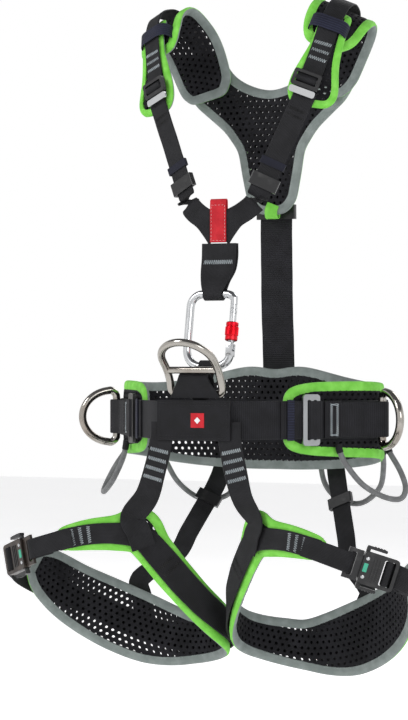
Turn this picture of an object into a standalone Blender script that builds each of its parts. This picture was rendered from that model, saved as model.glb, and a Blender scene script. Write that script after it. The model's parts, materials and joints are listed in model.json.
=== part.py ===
"""Tree climbing saddle: a sit harness and a chest harness joined by a screw-gate carabiner.

The frame's origin is the centre of the waist belt. +Z is up, the wearer faces -Y and +X is the
wearer's left. Webbing and pads are thin bands with a Solidify modifier. Nearly everything comes in
mirrored pairs: a pair is modelled at +X and mirrored for the name that ends in _R.
"""
import math

import bmesh
import bpy
from mathutils import Matrix, Vector

UP = (0.0, 0.0, 1.0)
GAP = 0.0004                       # between pieces that touch

# Thickness of the textiles
WEB = 0.0022                       # single webbing
BELT_WEB = 0.0024
PAD = 0.010                        # waist and leg pads
SHOULDER_PAD = 0.008
CHEST_PAD = 0.007
BACK_PAD = 0.009

# Widths of the webbing
BELT_WIDTH = 0.045
DORSAL_WIDTH = 0.043
CHEST_WIDTH = 0.027
SHOULDER_WIDTH = 0.025
RISER_WIDTH = 0.029
REAR_RISER_WIDTH = 0.025

# Lift of each layer of the belt from the middle of the pad
BELT_LIFT = PAD / 2 + BELT_WEB / 2 + 0.0013
BUCKLE_LIFT = 0.0122
LOOP_LIFT = 0.0095                 # gear loop ends

# The waist pad seen from above, front centre to back centre on the +X side
WAIST_HALF = [
    (0.000, -0.0925), (0.044, -0.0915), (0.078, -0.062), (0.110, -0.025), (0.140, 0.010),
    (0.163, 0.044), (0.160, 0.080), (0.138, 0.107), (0.095, 0.1235), (0.045, 0.130),
    (0.000, 0.131),
]
# Lower and upper edge of the waist pad against its place on that outline
WAIST_EDGES = [
    (2.3, -0.027, 0.029), (2.45, -0.035, 0.037), (3.0, -0.041, 0.043), (4.0, -0.044, 0.0445),
    (5.0, -0.046, 0.044), (6.0, -0.050, 0.042), (7.0, -0.057, 0.042), (8.0, -0.063, 0.049),
    (9.15, -0.066, 0.0616), (10.0, -0.066, 0.0574),
]

# Leg loops: an ellipse seen from above, its long axis from outer front to inner back
LEG_CENTRE = (0.1285, -0.036)
LEG_LONG = 0.125
LEG_SHORT = 0.079
LEG_YAW = math.radians(-25)
# Angle on the ellipse, height of the middle and width of the leg pad
LEG_PAD = [
    (26, -0.174, 0.034), (35, -0.185, 0.055), (45, -0.198, 0.066), (60, -0.219, 0.075),
    (75, -0.237, 0.082), (90, -0.253, 0.085), (105, -0.2655, 0.083), (120, -0.272, 0.073),
    (135, -0.2735, 0.060), (150, -0.270, 0.056), (165, -0.265, 0.052), (180, -0.2585, 0.050),
    (195, -0.249, 0.048), (210, -0.235, 0.046), (225, -0.2135, 0.044), (240, -0.183, 0.044),
    (250, -0.158, 0.044), (260, -0.137, 0.043), (272, -0.134, 0.040), (285, -0.135, 0.037),
    (300, -0.140, 0.030), (304, -0.1425, 0.026), (308, -0.1445, 0.020),
]
# Angle, height, width and lift of the leg webbing, from behind the buckle round to the buckle
LEG_STRAP = [
    (-2, -0.1765, 0.028, 0.0105), (7, -0.1810, 0.028, 0.0110), (16, -0.187, 0.028, 0.0120),
    (32, -0.200, 0.028, 0.0130),
    (48, -0.214, 0.028, 0.0110), (64, -0.228, 0.028, 0.0085), (80, -0.243, 0.028, 0.0069),
    (100, -0.262, 0.028, 0.0067), (120, -0.272, 0.029, 0.0067), (140, -0.2725, 0.031, 0.0074),
    (160, -0.267, 0.033, 0.0074), (180, -0.2585, 0.033, 0.0074), (200, -0.2445, 0.033, 0.0074),
    (220, -0.2215, 0.033, 0.0074), (235, -0.194, 0.033, 0.0074), (248, -0.163, 0.032, 0.0067),
    (259, -0.1385, 0.029, 0.0067), (272, -0.1335, 0.025, 0.0067), (286, -0.1345, 0.024, 0.0067),
    (300, -0.1405, 0.024, 0.0067), (305, -0.1435, 0.024, 0.0070),
]
LEG_BUCKLE_ANGLE = 335
LEG_BUCKLE_HEIGHT = -0.1620
LEG_BUCKLE_DROP = math.radians(18)

# Middle of the shoulder pad from the back, over the shoulder, to the front:
# place, width and direction across it
SHOULDER = [
    (0.078, 0.1000, 0.395, 0.046, 1.00, 0.00, 0.00), (0.0815, 0.1022, 0.408, 0.066, 1.00, 0.00, 0.00),
    (0.087, 0.1040, 0.425, 0.074, 1.00, 0.00, 0.00), (0.100, 0.1030, 0.458, 0.078, 0.97, 0.00, -0.22),
    (0.112, 0.0930, 0.481, 0.078, 0.90, 0.10, -0.38), (0.117, 0.0740, 0.489, 0.078, 0.87, 0.20, -0.42),
    (0.117, 0.0520, 0.481, 0.076, 0.86, 0.28, -0.42), (0.113, 0.0360, 0.462, 0.070, 0.86, 0.28, -0.42),
    (0.110, 0.0300, 0.451, 0.060, 0.86, 0.28, -0.42), (0.108, 0.0260, 0.442, 0.042, 0.86, 0.28, -0.42),
]
# The chest pad lies on the front of the shoulder pad and runs on down to the shoulder buckle
CHEST = [
    (0.1205, 0.0450, 0.4845, 0.034, 0.86, 0.28, -0.42), (0.1190, 0.0290, 0.4670, 0.036, 0.86, 0.28, -0.42),
    (0.1140, 0.0190, 0.4420, 0.038, 0.86, 0.28, -0.42), (0.1080, 0.0120, 0.4190, 0.047, 0.86, 0.28, -0.42),
    (0.1040, 0.0060, 0.3980, 0.058, 0.86, 0.28, -0.42), (0.1020, 0.0020, 0.3800, 0.058, 0.88, 0.28, -0.36),
    (0.1010, 0.0000, 0.3690, 0.040, 0.88, 0.28, -0.36),
]
# Shoulder webbing from the buckle up over the shoulder and down the back pad's arm
SHOULDER_WEB = [
    (0.1014, -0.0009, 0.4040), (0.1054, 0.0041, 0.4185), (0.1114, 0.0109, 0.4405),
    (0.1175, 0.0194, 0.4675), (0.1220, 0.0370, 0.4910), (0.1215, 0.0600, 0.5005),
    (0.1190, 0.0800, 0.5010), (0.1130, 0.1035, 0.4925), (0.1010, 0.1190, 0.4680),
    (0.0860, 0.1228, 0.4360), (0.0690, 0.1240, 0.4060), (0.0480, 0.1275, 0.3740),
    (0.0340, 0.1285, 0.3480),
]
CHEST_STRAP = [
    (0.09800, -0.00600, 0.3860), (0.08950, -0.00972, 0.3660), (0.08100, -0.01343, 0.3460),
    (0.07250, -0.01715, 0.3260), (0.06400, -0.02087, 0.3060), (0.05550, -0.02458, 0.2860),
    (0.04700, -0.02830, 0.2660), (0.04275, -0.03016, 0.2560), (0.03350, -0.03480, 0.2470),
    (0.02150, -0.03850, 0.2390),
]
CHEST_FACING = (0.3256, -0.9455, 0.0)
STERNAL_Y = -0.0385                # the chest straps meet in this plane
KEEPER_PLACE = 0.84                # along the chest strap's straight stretch
ADJUSTER_PLACE = 1.06

# The back pad: inner and outer edge of its +X half, from the tip to the shoulder
BACK_EDGES = [
    ((0.000, 0.1220, 0.2505), (0.020, 0.1220, 0.2530)), ((0.000, 0.1215, 0.2640), (0.033, 0.1215, 0.2680)),
    ((0.000, 0.1210, 0.3000), (0.040, 0.1205, 0.3030)), ((0.000, 0.1210, 0.3300), (0.0445, 0.1205, 0.3310)),
    ((0.000, 0.1210, 0.3620), (0.0620, 0.1185, 0.3560)), ((0.000, 0.1200, 0.3870), (0.0770, 0.1165, 0.3690)),
    ((0.000, 0.1195, 0.4050), (0.0900, 0.1150, 0.3800)), ((0.018, 0.1188, 0.4085), (0.1000, 0.1140, 0.3880)),
    ((0.036, 0.1175, 0.4160), (0.1100, 0.1130, 0.4030)), ((0.050, 0.1150, 0.4260), (0.1200, 0.1130, 0.4280)),
    ((0.0625, 0.1145, 0.4440), (0.1300, 0.1135, 0.4430)), ((0.0700, 0.1150, 0.4590), (0.1330, 0.1150, 0.4530)),
]
DORSAL = [
    (0.0, 0.1280, 0.3400), (0.0, 0.1305, 0.3050), (0.0, 0.1335, 0.2780), (0.0, 0.1342, 0.2400),
    (0.0, 0.1345, 0.2000), (0.0, 0.1370, 0.1300), (0.0, 0.1405, 0.0800), (0.0, 0.1422, 0.0450),
    (0.0, 0.1424, -0.0180),
]

# Steel and light alloy hardware
D_BAR = (0.1769, 0.0400)           # axis of the side D-ring's straight bar
D_HALF_HEIGHT = 0.0320
D_REACH = 0.0430
D_TUBE = 0.0048
D_FOLD = math.radians(-41)         # the D-ring points forward of +X at rest

RING_HALF_WIDTH = 0.0325
RING_TUBE = 0.0045
RING_CROSSBAR = 0.031              # along the ring's bent middle line
RING_STRAIGHT = 0.046
RING_LINE = [                      # y and z of the ring's middle line from the bottom bar to the top
    (-0.0995, 0.0305), (-0.1030, 0.0430), (-0.1116, 0.0575), (-0.1270, 0.0720), (-0.1400, 0.0832),
    (-0.1480, 0.0905),
]
CARABINER_TOP = (-0.0550, 0.1475)  # y and z of the middle of its top bar
CARABINER_LEAN = math.radians(11)
CARABINER_HEIGHT = 0.0870          # between the middles of the top and bottom bars
CARABINER_HALF_WIDTH = 0.0280
CARABINER_TUBE = 0.0048
GATE_TUBE = 0.0040
GATE_PIVOT = -0.0630               # along the carabiner, down from its top bar
GATE_TOP = -0.0132
SLEEVE_RADIUS = 0.0080
SLEEVE_BOTTOM = -0.0560
SLEEVE_LENGTH = 0.0220
PIN_RADIUS = 0.0013

GEAR_TUBE = 0.0034
GEAR_FRONT_MIDDLE = [
    (0.1470, -0.0020, -0.0520), (0.1640, 0.0080, -0.0760), (0.1840, 0.0260, -0.0910),
    (0.1975, 0.0450, -0.0940), (0.1990, 0.0590, -0.0820), (0.1900, 0.0650, -0.0620),
]
GEAR_REAR_MIDDLE = [
    (0.1470, 0.1230, -0.0610), (0.1380, 0.1360, -0.0850), (0.1180, 0.1440, -0.1030),
    (0.0980, 0.1480, -0.1080), (0.0740, 0.1500, -0.1010), (0.0590, 0.1480, -0.0820),
]


# ---------------------------------------------------------------- curves and frames

def smooth(rows, per_span, closed=False):
    """Sample the Catmull-Rom curve through rows of numbers."""
    count = len(rows)

    def row(index):
        if closed:
            return rows[index % count]
        if index < 0:
            return tuple(2 * a - b for a, b in zip(rows[0], rows[1]))
        if index >= count:
            return tuple(2 * a - b for a, b in zip(rows[-1], rows[-2]))
        return rows[index]

    samples = []
    for span in range(count if closed else count - 1):
        around = [row(span + step) for step in (-1, 0, 1, 2)]
        for step in range(per_span):
            t = step / per_span
            samples.append(tuple(blend(t, *values) for values in zip(*around)))
    if not closed:
        samples.append(tuple(rows[-1]))
    return samples


def blend(t, a, b, c, d):
    """One number of a Catmull-Rom curve between b and c."""
    cubic = 3 * b - a - 3 * c + d
    square = 2 * a - 5 * b + 4 * c - d
    return 0.5 * (2 * b + (c - a) * t + square * t * t + cubic * t ** 3)


def tangents(points, closed=False):
    """Unit direction of travel at each point."""
    last = len(points) - 1
    result = []
    for index in range(len(points)):
        before = points[index - 1] if closed or index > 0 else points[0]
        after = points[(index + 1) % len(points)] if closed or index < last else points[last]
        result.append((after - before).normalized())
    return result


def band(stations, lift=0.0, cells=1, closed=False):
    """Rows of points across a band; a station is x, y, z, width and the direction across."""
    centres = [Vector(station[:3]) for station in stations]
    rows = []
    for centre, along, station in zip(centres, tangents(centres, closed), stations):
        hint = Vector(station[4:7])
        across = (hint - hint.dot(along) * along).normalized()
        middle = centre + along.cross(across) * lift
        rows.append([middle + across * station[3] * (cell / cells - 0.5) for cell in range(cells + 1)])
    return rows


WAIST_LOOP = WAIST_HALF + [(-x, y) for x, y in reversed(WAIST_HALF[1:-1])]


def waist_point(place, lift, height):
    """A point on the belt line; place counts the outline's points from the front centre."""
    whole = math.floor(place)
    count = len(WAIST_LOOP)
    around = [WAIST_LOOP[(whole + step) % count] for step in (-1, 0, 1, 2)]
    step = 1e-3
    here = [blend(place - whole, *values) for values in zip(*around)]
    ahead = [blend(place - whole + step, *values) for values in zip(*around)]
    along = Vector((ahead[0] - here[0], ahead[1] - here[1], 0)).normalized()
    outward = along.cross(Vector(UP))
    return Vector((here[0], here[1], height)) + outward * lift


def leg_point(degrees, lift, height):
    """A point of the +X leg loop, lifted outward from the middle of its pad."""
    angle = math.radians(degrees)
    long_axis = Vector((math.cos(LEG_YAW), math.sin(LEG_YAW), 0))
    short_axis = Vector((-math.sin(LEG_YAW), math.cos(LEG_YAW), 0))
    place = LEG_LONG * math.cos(angle) * long_axis + LEG_SHORT * math.sin(angle) * short_axis
    outward = (math.cos(angle) / LEG_LONG) * long_axis + (math.sin(angle) / LEG_SHORT) * short_axis
    return Vector((*LEG_CENTRE, height)) + place + outward.normalized() * lift


def local_frame(origin, along, outward):
    """A matrix whose x runs along, y across and z outward."""
    x_axis = along.normalized()
    z_axis = (outward - outward.dot(x_axis) * x_axis).normalized()
    y_axis = z_axis.cross(x_axis)
    matrix = Matrix((x_axis, y_axis, z_axis)).transposed().to_4x4()
    return Matrix.Translation(origin) @ matrix


# ---------------------------------------------------------------- objects and materials

def material(name, color, roughness, metallic=0.0):
    made = bpy.data.materials.get(name)
    if made is None:
        made = bpy.data.materials.new(name)
        made.use_nodes = True
        shader = made.node_tree.nodes["Principled BSDF"]
        shader.inputs["Base Color"].default_value = (*color, 1.0)
        shader.inputs["Roughness"].default_value = roughness
        shader.inputs["Metallic"].default_value = metallic
    return made


def webbing():
    return material("webbing_black", (0.018, 0.018, 0.020), 0.85)


def padding():
    return material("pad_black", (0.025, 0.025, 0.028), 0.9)


def label_cloth():
    return material("label_red", (0.60, 0.03, 0.04), 0.7)


def steel():
    return material("polished_metal", (0.62, 0.62, 0.63), 0.22, 1.0)


def alloy():
    return material("grey_alloy", (0.45, 0.46, 0.47), 0.4, 1.0)


def black_metal():
    return material("buckle_black", (0.03, 0.03, 0.03), 0.4, 0.6)


def red_alloy():
    return material("sleeve_red", (0.65, 0.02, 0.03), 0.35, 0.8)


def cord_cover():
    return material("gear_loop_grey", (0.28, 0.28, 0.29), 0.6)


def add_object(name, mesh, look, origin=(0, 0, 0)):
    """Place a mesh given in world coordinates, with its object's origin at a chosen point."""
    mesh.transform(Matrix.Translation(-Vector(origin)))
    obj = bpy.data.objects.new(name, mesh)
    obj.location = origin
    obj.data.materials.append(look)
    bpy.context.scene.collection.objects.link(obj)
    return obj


def mesh_from(name, bm, side=1, flat=True):
    """Turn a bmesh into a mesh, mirrored to -X where side is -1."""
    if side < 0:
        bmesh.ops.transform(bm, matrix=Matrix.Scale(-1, 4, (1, 0, 0)), verts=bm.verts)
    bmesh.ops.recalc_face_normals(bm, faces=bm.faces)
    mesh = bpy.data.meshes.new(name)
    bm.to_mesh(mesh)
    bm.free()
    if not flat:
        mesh.shade_smooth()
        mesh.set_sharp_from_angle(angle=math.radians(40))
    return mesh


def sheet(name, rows, thickness, look, closed=False, side=1):
    """A textile: a grid of points made solid by a Solidify modifier."""
    bm = bmesh.new()
    grid = [[bm.verts.new(point) for point in row] for row in rows]
    pairs = list(zip(grid, grid[1:])) + ([(grid[-1], grid[0])] if closed else [])
    for first, second in pairs:
        for cell in range(len(first) - 1):
            bm.faces.new((first[cell], first[cell + 1], second[cell + 1], second[cell]))
    thicken(add_object(name, mesh_from(name, bm, side), look), thickness)


def thicken(obj, thickness):
    solid = obj.modifiers.new("thickness", "SOLIDIFY")
    solid.thickness = thickness
    solid.offset = 0
    solid.use_even_offset = True


def tube_into(bm, points, radii, sides, closed=False):
    """A round tube along points, with flat ends where it is open."""
    along = tangents(points, closed)
    normal = along[0].orthogonal().normalized()
    rings = []
    for point, direction, radius in zip(points, along, radii):
        normal = (normal - normal.dot(direction) * direction).normalized()
        other = direction.cross(normal)
        turns = [2 * math.pi * side / sides for side in range(sides)]
        rings.append([bm.verts.new(point + radius * (math.cos(a) * normal + math.sin(a) * other))
                      for a in turns])
    pairs = list(zip(rings, rings[1:]))
    if closed:
        offset = min(range(sides), key=lambda k: (rings[0][k].co - rings[-1][0].co).length)
        pairs.append((rings[-1], rings[0][offset:] + rings[0][:offset]))
    else:
        bm.faces.new(rings[0])
        bm.faces.new(rings[-1])
    for first, second in pairs:
        for k in range(sides):
            nxt = (k + 1) % sides
            bm.faces.new((first[k], first[nxt], second[nxt], second[k]))


def tube(name, points, radius, look, sides=8, closed=False, side=1, origin=(0, 0, 0)):
    bm = bmesh.new()
    tube_into(bm, points, [radius] * len(points), sides, closed)
    place = (side * origin[0], origin[1], origin[2])
    return add_object(name, mesh_from(name, bm, side, flat=False), look, place)


def box_into(bm, low, high, frame=None):
    """A box between two corners, given in a local frame."""
    size = [b - a for a, b in zip(low, high)]
    middle = [(a + b) / 2 for a, b in zip(low, high)]
    matrix = Matrix.Translation(middle) @ Matrix.Diagonal((*size, 1))
    bmesh.ops.create_cube(bm, size=1, matrix=(frame or Matrix()) @ matrix)


def cylinder_into(bm, start, end, radius, sides=12, frame=None):
    """A cylinder between two points, given in a local frame."""
    start, end = Vector(start), Vector(end)
    turn = (end - start).to_track_quat("Z", "Y").to_matrix().to_4x4()
    matrix = (frame or Matrix()) @ Matrix.Translation((start + end) / 2) @ turn
    bmesh.ops.create_cone(bm, cap_ends=True, segments=sides, radius1=radius, radius2=radius,
                          depth=(end - start).length, matrix=matrix)


def cutter(name, fill, side=1):
    """A hidden object that a Boolean uses; fill adds its closed bodies."""
    bm = bmesh.new()
    fill(bm)
    mesh = mesh_from(name, bm, side)
    obj = bpy.data.objects.new(name, mesh)
    obj.hide_render = True
    obj.display_type = "WIRE"
    bpy.context.scene.collection.objects.link(obj)
    return obj


def boolean(obj, other, operation):
    step = obj.modifiers.new(other.name, "BOOLEAN")
    step.operation = operation
    step.object = other
    step.solver = "EXACT"
    step.use_self = True


def outline_plate(name, frame, outline, holes, depth, look, side=1, origin=None):
    """A flat plate: a closed outline with closed holes, from z = depth[0] to depth[1]."""
    bm = bmesh.new()
    edges = []
    for loop in [outline] + holes:
        verts = [bm.verts.new((x, y, depth[0])) for x, y in loop]
        edges += [bm.edges.new((a, b)) for a, b in zip(verts, verts[1:] + verts[:1])]
    bmesh.ops.triangle_fill(bm, edges=edges, use_beauty=True)
    raised = bmesh.ops.extrude_face_region(bm, geom=bm.faces[:])
    moved = [item for item in raised["geom"] if isinstance(item, bmesh.types.BMVert)]
    bmesh.ops.translate(bm, verts=moved, vec=(0, 0, depth[1] - depth[0]))
    bmesh.ops.transform(bm, matrix=frame, verts=bm.verts)
    place = frame.translation if origin is None else Vector(origin)
    return add_object(name, mesh_from(name, bm, side), look, (side * place.x, place.y, place.z))


def rounded(x0, x1, y0, y1, radius, steps=3):
    """A rectangle with round corners, counter-clockwise."""
    points = []
    corners = [(x1 - radius, y1 - radius, 0), (x0 + radius, y1 - radius, 90),
               (x0 + radius, y0 + radius, 180), (x1 - radius, y0 + radius, 270)]
    for x, y, start in corners:
        for step in range(steps + 1):
            angle = math.radians(start + 90 * step / steps)
            points.append((x + radius * math.cos(angle), y + radius * math.sin(angle)))
    return points


def strap_ring(name, frame, outer, inner, length, look, side=1):
    """A keeper: a closed rectangular ring round a strap that runs along the frame's x."""
    outline = rounded(-outer[0] / 2, outer[0] / 2, -outer[1] / 2, outer[1] / 2, 0.0012, 2)
    hole = rounded(-inner[0] / 2, inner[0] / 2, -inner[1] / 2, inner[1] / 2, 0.0004, 1)
    turned = frame @ Matrix(((0, 0, 1, 0), (1, 0, 0, 0), (0, 1, 0, 0), (0, 0, 0, 1)))
    return outline_plate(name, turned, outline, [hole], (-length / 2, length / 2), look, side)


def pairs():
    """The two sides of the wearer."""
    return (("L", 1), ("R", -1))


# ---------------------------------------------------------------- waist belt

def make_waist():
    edges = smooth(WAIST_EDGES, 3)
    half = [[waist_point(place, 0, low + (high - low) * part) for part in (0, 0.5, 1)]
            for place, low, high in edges]
    mirrored = [[Vector((-p.x, p.y, p.z)) for p in row] for row in reversed(half[:-1])]
    sheet("waist_pad", half + mirrored, PAD, padding())

    places = [index / 3 for index in range(3 * len(WAIST_LOOP))]
    rows = [[waist_point(place, BELT_LIFT, side * BELT_WIDTH / 2) for side in (-1, 1)] for place in places]
    sheet("waist_webbing", rows, BELT_WEB, webbing(), closed=True)

    panel_y = -0.1078
    rows = [[Vector((x, y, -0.0235)), Vector((x, y, 0.0235))]
            for x, y in ((-0.048, panel_y + 0.001), (-0.030, panel_y), (0.030, panel_y),
                         (0.046, panel_y + 0.001))]
    sheet("front_panel", rows, 0.0026, webbing())


def make_waist_side(tag, side):
    """The buckle, D-ring with its webbing fold and gear loops on one side of the belt."""
    here = waist_point(2.92, BUCKLE_LIFT, 0)
    ahead = waist_point(3.05, BUCKLE_LIFT, 0)
    outward = (ahead - here).cross(Vector(UP))
    frame = local_frame(here, ahead - here, outward)
    slots = [rounded(x0, x0 + 0.0045, -0.0235, 0.0235, 0.001, 1) for x0 in (-0.0055, 0.0025)]
    hinge = frame @ Vector((0.0085, 0, 0))
    outline_plate("waist_buckle_" + tag, frame, rounded(-0.0110, 0.0110, -0.0300, 0.0300, 0.004), slots,
                  (-0.0018, 0.0018), alloy(), side, hinge)

    bar = Vector((*D_BAR, 0))
    radius = D_TUBE + GAP + WEB / 2 + 0.0002
    start = [waist_point(place, BUCKLE_LIFT - 0.0020, 0) for place in (3.75, 4.05, 4.35, 4.6)]
    turn = [bar + radius * Vector((math.cos(a), math.sin(a), 0))
            for a in [math.radians(angle) for angle in (-62, -30, 0, 30, 60, 90, 120)]]
    plan = start + turn
    rows = [[point + Vector((0, 0, z)) for z in (-0.021, 0.021)] for point in plan]
    sheet("d_ring_tab_" + tag, rows, WEB, webbing(), side=side)

    out = Vector((math.cos(D_FOLD), math.sin(D_FOLD), 0))
    outline = [(0.0, -D_HALF_HEIGHT + 0.006), (0.0, 0.0), (0.0, D_HALF_HEIGHT - 0.006)]
    arc = [math.radians(90 - 180 * step / 16) for step in range(17)]
    outline += [(0.006 + (D_REACH - 0.006) * math.cos(a), D_HALF_HEIGHT * math.sin(a)) for a in arc]
    points = [bar + out * x + Vector((0, 0, z)) for x, z in outline]
    tube("d_ring_" + tag, points, D_TUBE, steel(), 8, closed=True, side=side, origin=bar)

    front = [waist_point(3.72, LOOP_LIFT, -0.0285), waist_point(3.74, LOOP_LIFT + 0.001, -0.0370)]
    front += [Vector(point) for point in GEAR_FRONT_MIDDLE]
    front += [waist_point(5.62, LOOP_LIFT + 0.001, -0.0380), waist_point(5.62, LOOP_LIFT, -0.0285)]
    make_gear_loop("gear_loop_front_" + tag, front, side)
    rear = [waist_point(6.75, LOOP_LIFT, -0.0300), waist_point(6.8, LOOP_LIFT + 0.001, -0.0420)]
    rear += [Vector(point) for point in GEAR_REAR_MIDDLE]
    rear += [waist_point(8.8, LOOP_LIFT + 0.001, -0.0480), waist_point(8.85, LOOP_LIFT, -0.0300)]
    make_gear_loop("gear_loop_rear_" + tag, rear, side)


def make_gear_loop(name, route, side):
    points = [Vector(point) for point in smooth([tuple(p) for p in route], 3)]
    tube(name, points, GEAR_TUBE, cord_cover(), 6, side=side, origin=route[0])


# ---------------------------------------------------------------- ventral ring

def ring_place(length, offset=0.0, x=0.0):
    """A point on the ring's bent middle plane at a length above the bottom bar."""
    line = [Vector((0, y, z)) for y, z in smooth(RING_LINE, 6)]
    for first, second in zip(line, line[1:]):
        span = (second - first).length
        if length <= span or second is line[-1]:
            along = (second - first) / span
            backward = Vector((0, along.z, -along.y))
            return first + along * length + backward * offset + Vector((x, 0, 0))
        length -= span
    return line[-1]


def make_ring():
    corner = 0.005
    outline = [(-RING_HALF_WIDTH + corner, 0), (0, 0), (RING_HALF_WIDTH - corner, 0), (RING_HALF_WIDTH, corner)]
    outline += [(RING_HALF_WIDTH, h) for h in (0.015, 0.024, RING_CROSSBAR, 0.039)]
    arc = [math.radians(180 * step / 12) for step in range(13)]
    top = 0.0785 - RING_STRAIGHT
    outline += [(RING_HALF_WIDTH * math.cos(a), RING_STRAIGHT + top * math.sin(a)) for a in arc]
    outline += [(-RING_HALF_WIDTH, h) for h in (0.039, RING_CROSSBAR, 0.024, 0.015)]
    outline += [(-RING_HALF_WIDTH, corner)]
    points = [ring_place(h, 0, x) for x, h in outline]
    ring = tube("ventral_ring", points, RING_TUBE, steel(), 8, closed=True, origin=points[1])
    ends = [ring_place(RING_CROSSBAR, 0, x) for x in (-RING_HALF_WIDTH, RING_HALF_WIDTH)]
    bar = cutter("ring_crossbar", lambda bm: cylinder_into(bm, ends[0], ends[1], 0.0041, 8))
    boolean(ring, bar, "UNION")

    wrap = RING_TUBE + GAP + WEB / 2
    front = [(-0.0030, -wrap, 0.064), (0.0060, -wrap, 0.054), (0.0150, -wrap, 0.045), (0.0210, -0.0044, 0.040)]
    fold = [(0.0234, -0.0030, 0.038), (0.0244, 0.0, 0.038), (0.0234, 0.0030, 0.038)]
    back = [(0.0210, 0.0044, 0.040), (0.0150, wrap, 0.042), (0.0060, wrap, 0.042)]
    layers = [(ring_place(length, offset), width) for length, offset, width in front + fold + back]
    rows = [[point + Vector((side * width / 2, 0, 0)) for side in (-1, 1)] for point, width in layers]
    sheet("ring_tongue", rows, WEB, webbing())


# ---------------------------------------------------------------- carabiner

def carabiner_frame():
    """x to the wearer's left, z up along the carabiner from the middle of its top bar."""
    place = Matrix.Translation((0.0, *CARABINER_TOP))
    return place @ Matrix.Rotation(-CARABINER_LEAN, 4, "X")


def make_carabiner():
    frame = carabiner_frame()
    half, height = CARABINER_HALF_WIDTH, CARABINER_HEIGHT
    route = [(half, GATE_PIVOT - 0.0060)]
    route += corner_arc(half - 0.018, -height + 0.0155, 0.018, 0.0155, 0, -90)
    route += corner_arc(-half + 0.021, -height + 0.021, 0.021, 0.021, -90, -180)
    route += [(-half, -height / 2)]
    route += corner_arc(-half + 0.0145, -0.0145, 0.0145, 0.0145, 180, 90)
    route += corner_arc(half - 0.011, -0.0080, 0.011, 0.0080, 90, 0)
    route += [(half, GATE_TOP + 0.0006)]
    points = [frame @ Vector((x, 0, z)) for x, z in route]
    radii = [CARABINER_TUBE] * (len(points) - 4) + [0.0046, 0.0043, 0.0041, 0.0041]
    bm = bmesh.new()
    tube_into(bm, points, radii, 8)
    body = add_object("carabiner_body", mesh_from("carabiner_body", bm, flat=False), steel(), points[0])

    def cheeks(bm):
        for side in (-1, 1):
            low, high = sorted((side * 0.0035, side * 0.0057))
            box_into(bm, (half - 0.0038, low, GATE_PIVOT - 0.0115),
                     (half + 0.0038, high, GATE_PIVOT + 0.0036), frame)

    def pin_hole(bm):
        cylinder_into(bm, (half, -0.008, GATE_PIVOT), (half, 0.008, GATE_PIVOT), PIN_RADIUS + 0.0003, 12,
                      frame)

    boolean(body, cutter("gate_cheeks", cheeks), "UNION")
    hole = cutter("gate_pin_hole", pin_hole)
    boolean(body, hole, "DIFFERENCE")

    pivot = frame @ Vector((half, 0, GATE_PIVOT))
    lengths = [GATE_PIVOT - 0.0032, GATE_PIVOT + 0.0045, GATE_PIVOT + 0.0060, GATE_TOP]
    gate_radii = [0.0030, 0.0030, GATE_TUBE, GATE_TUBE]
    bm = bmesh.new()
    tube_into(bm, [frame @ Vector((half, 0, z)) for z in lengths], gate_radii, 12)
    gate = add_object("carabiner_gate", mesh_from("carabiner_gate", bm, flat=False), steel(), pivot)
    boolean(gate, hole, "DIFFERENCE")

    bm = bmesh.new()
    cylinder_into(bm, (half, -0.0060, GATE_PIVOT), (half, 0.0060, GATE_PIVOT), PIN_RADIUS, 10, frame)
    add_object("gate_pin", mesh_from("gate_pin", bm, flat=False), steel(), pivot)

    circle = [2 * math.pi * step / 20 for step in range(20)]
    outline = [(SLEEVE_RADIUS * math.cos(a), SLEEVE_RADIUS * math.sin(a)) for a in circle]
    inner = [(0.0051 * math.cos(a), 0.0051 * math.sin(a)) for a in circle]
    base = frame @ Matrix.Translation((half, 0, SLEEVE_BOTTOM))
    outline_plate("carabiner_sleeve", base, outline, [inner], (0, SLEEVE_LENGTH), red_alloy())


def corner_arc(x, z, radius_x, radius_z, start, end, steps=6):
    """Points on a quarter of an ellipse."""
    turns = [math.radians(start + (end - start) * step / steps) for step in range(steps + 1)]
    return [(x + radius_x * math.cos(a), z + radius_z * math.sin(a)) for a in turns]


def make_tie_in_loop():
    """A webbing loop over the carabiner's bottom bar, sewn behind the belt webbing."""
    bar = carabiner_frame() @ Vector((0, 0, -CARABINER_HEIGHT))
    radius = CARABINER_TUBE + WEB / 2 + 0.0007
    front = [(-0.0971, -0.0120), (-0.0969, 0.0060), (-0.0945, 0.0190), (-0.0900, 0.0330), (-0.0842, 0.0480)]
    turns = [math.radians(angle) for angle in (195, 165, 135, 105, 75, 45, 15, -15, -45, -75)]
    round_bar = [(bar.y + radius * math.cos(a), bar.z + radius * math.sin(a)) for a in turns]
    back = [(-0.0785, 0.0420), (-0.0865, 0.0290), (-0.0918, 0.0160), (-0.0938, 0.0040), (-0.0940, -0.0120)]
    rows = [[Vector((x, y, z)) for x in (-0.009, 0.009)] for y, z in front + round_bar + back]
    sheet("tie_in_loop", rows, WEB, webbing())


# ---------------------------------------------------------------- chest harness

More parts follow.
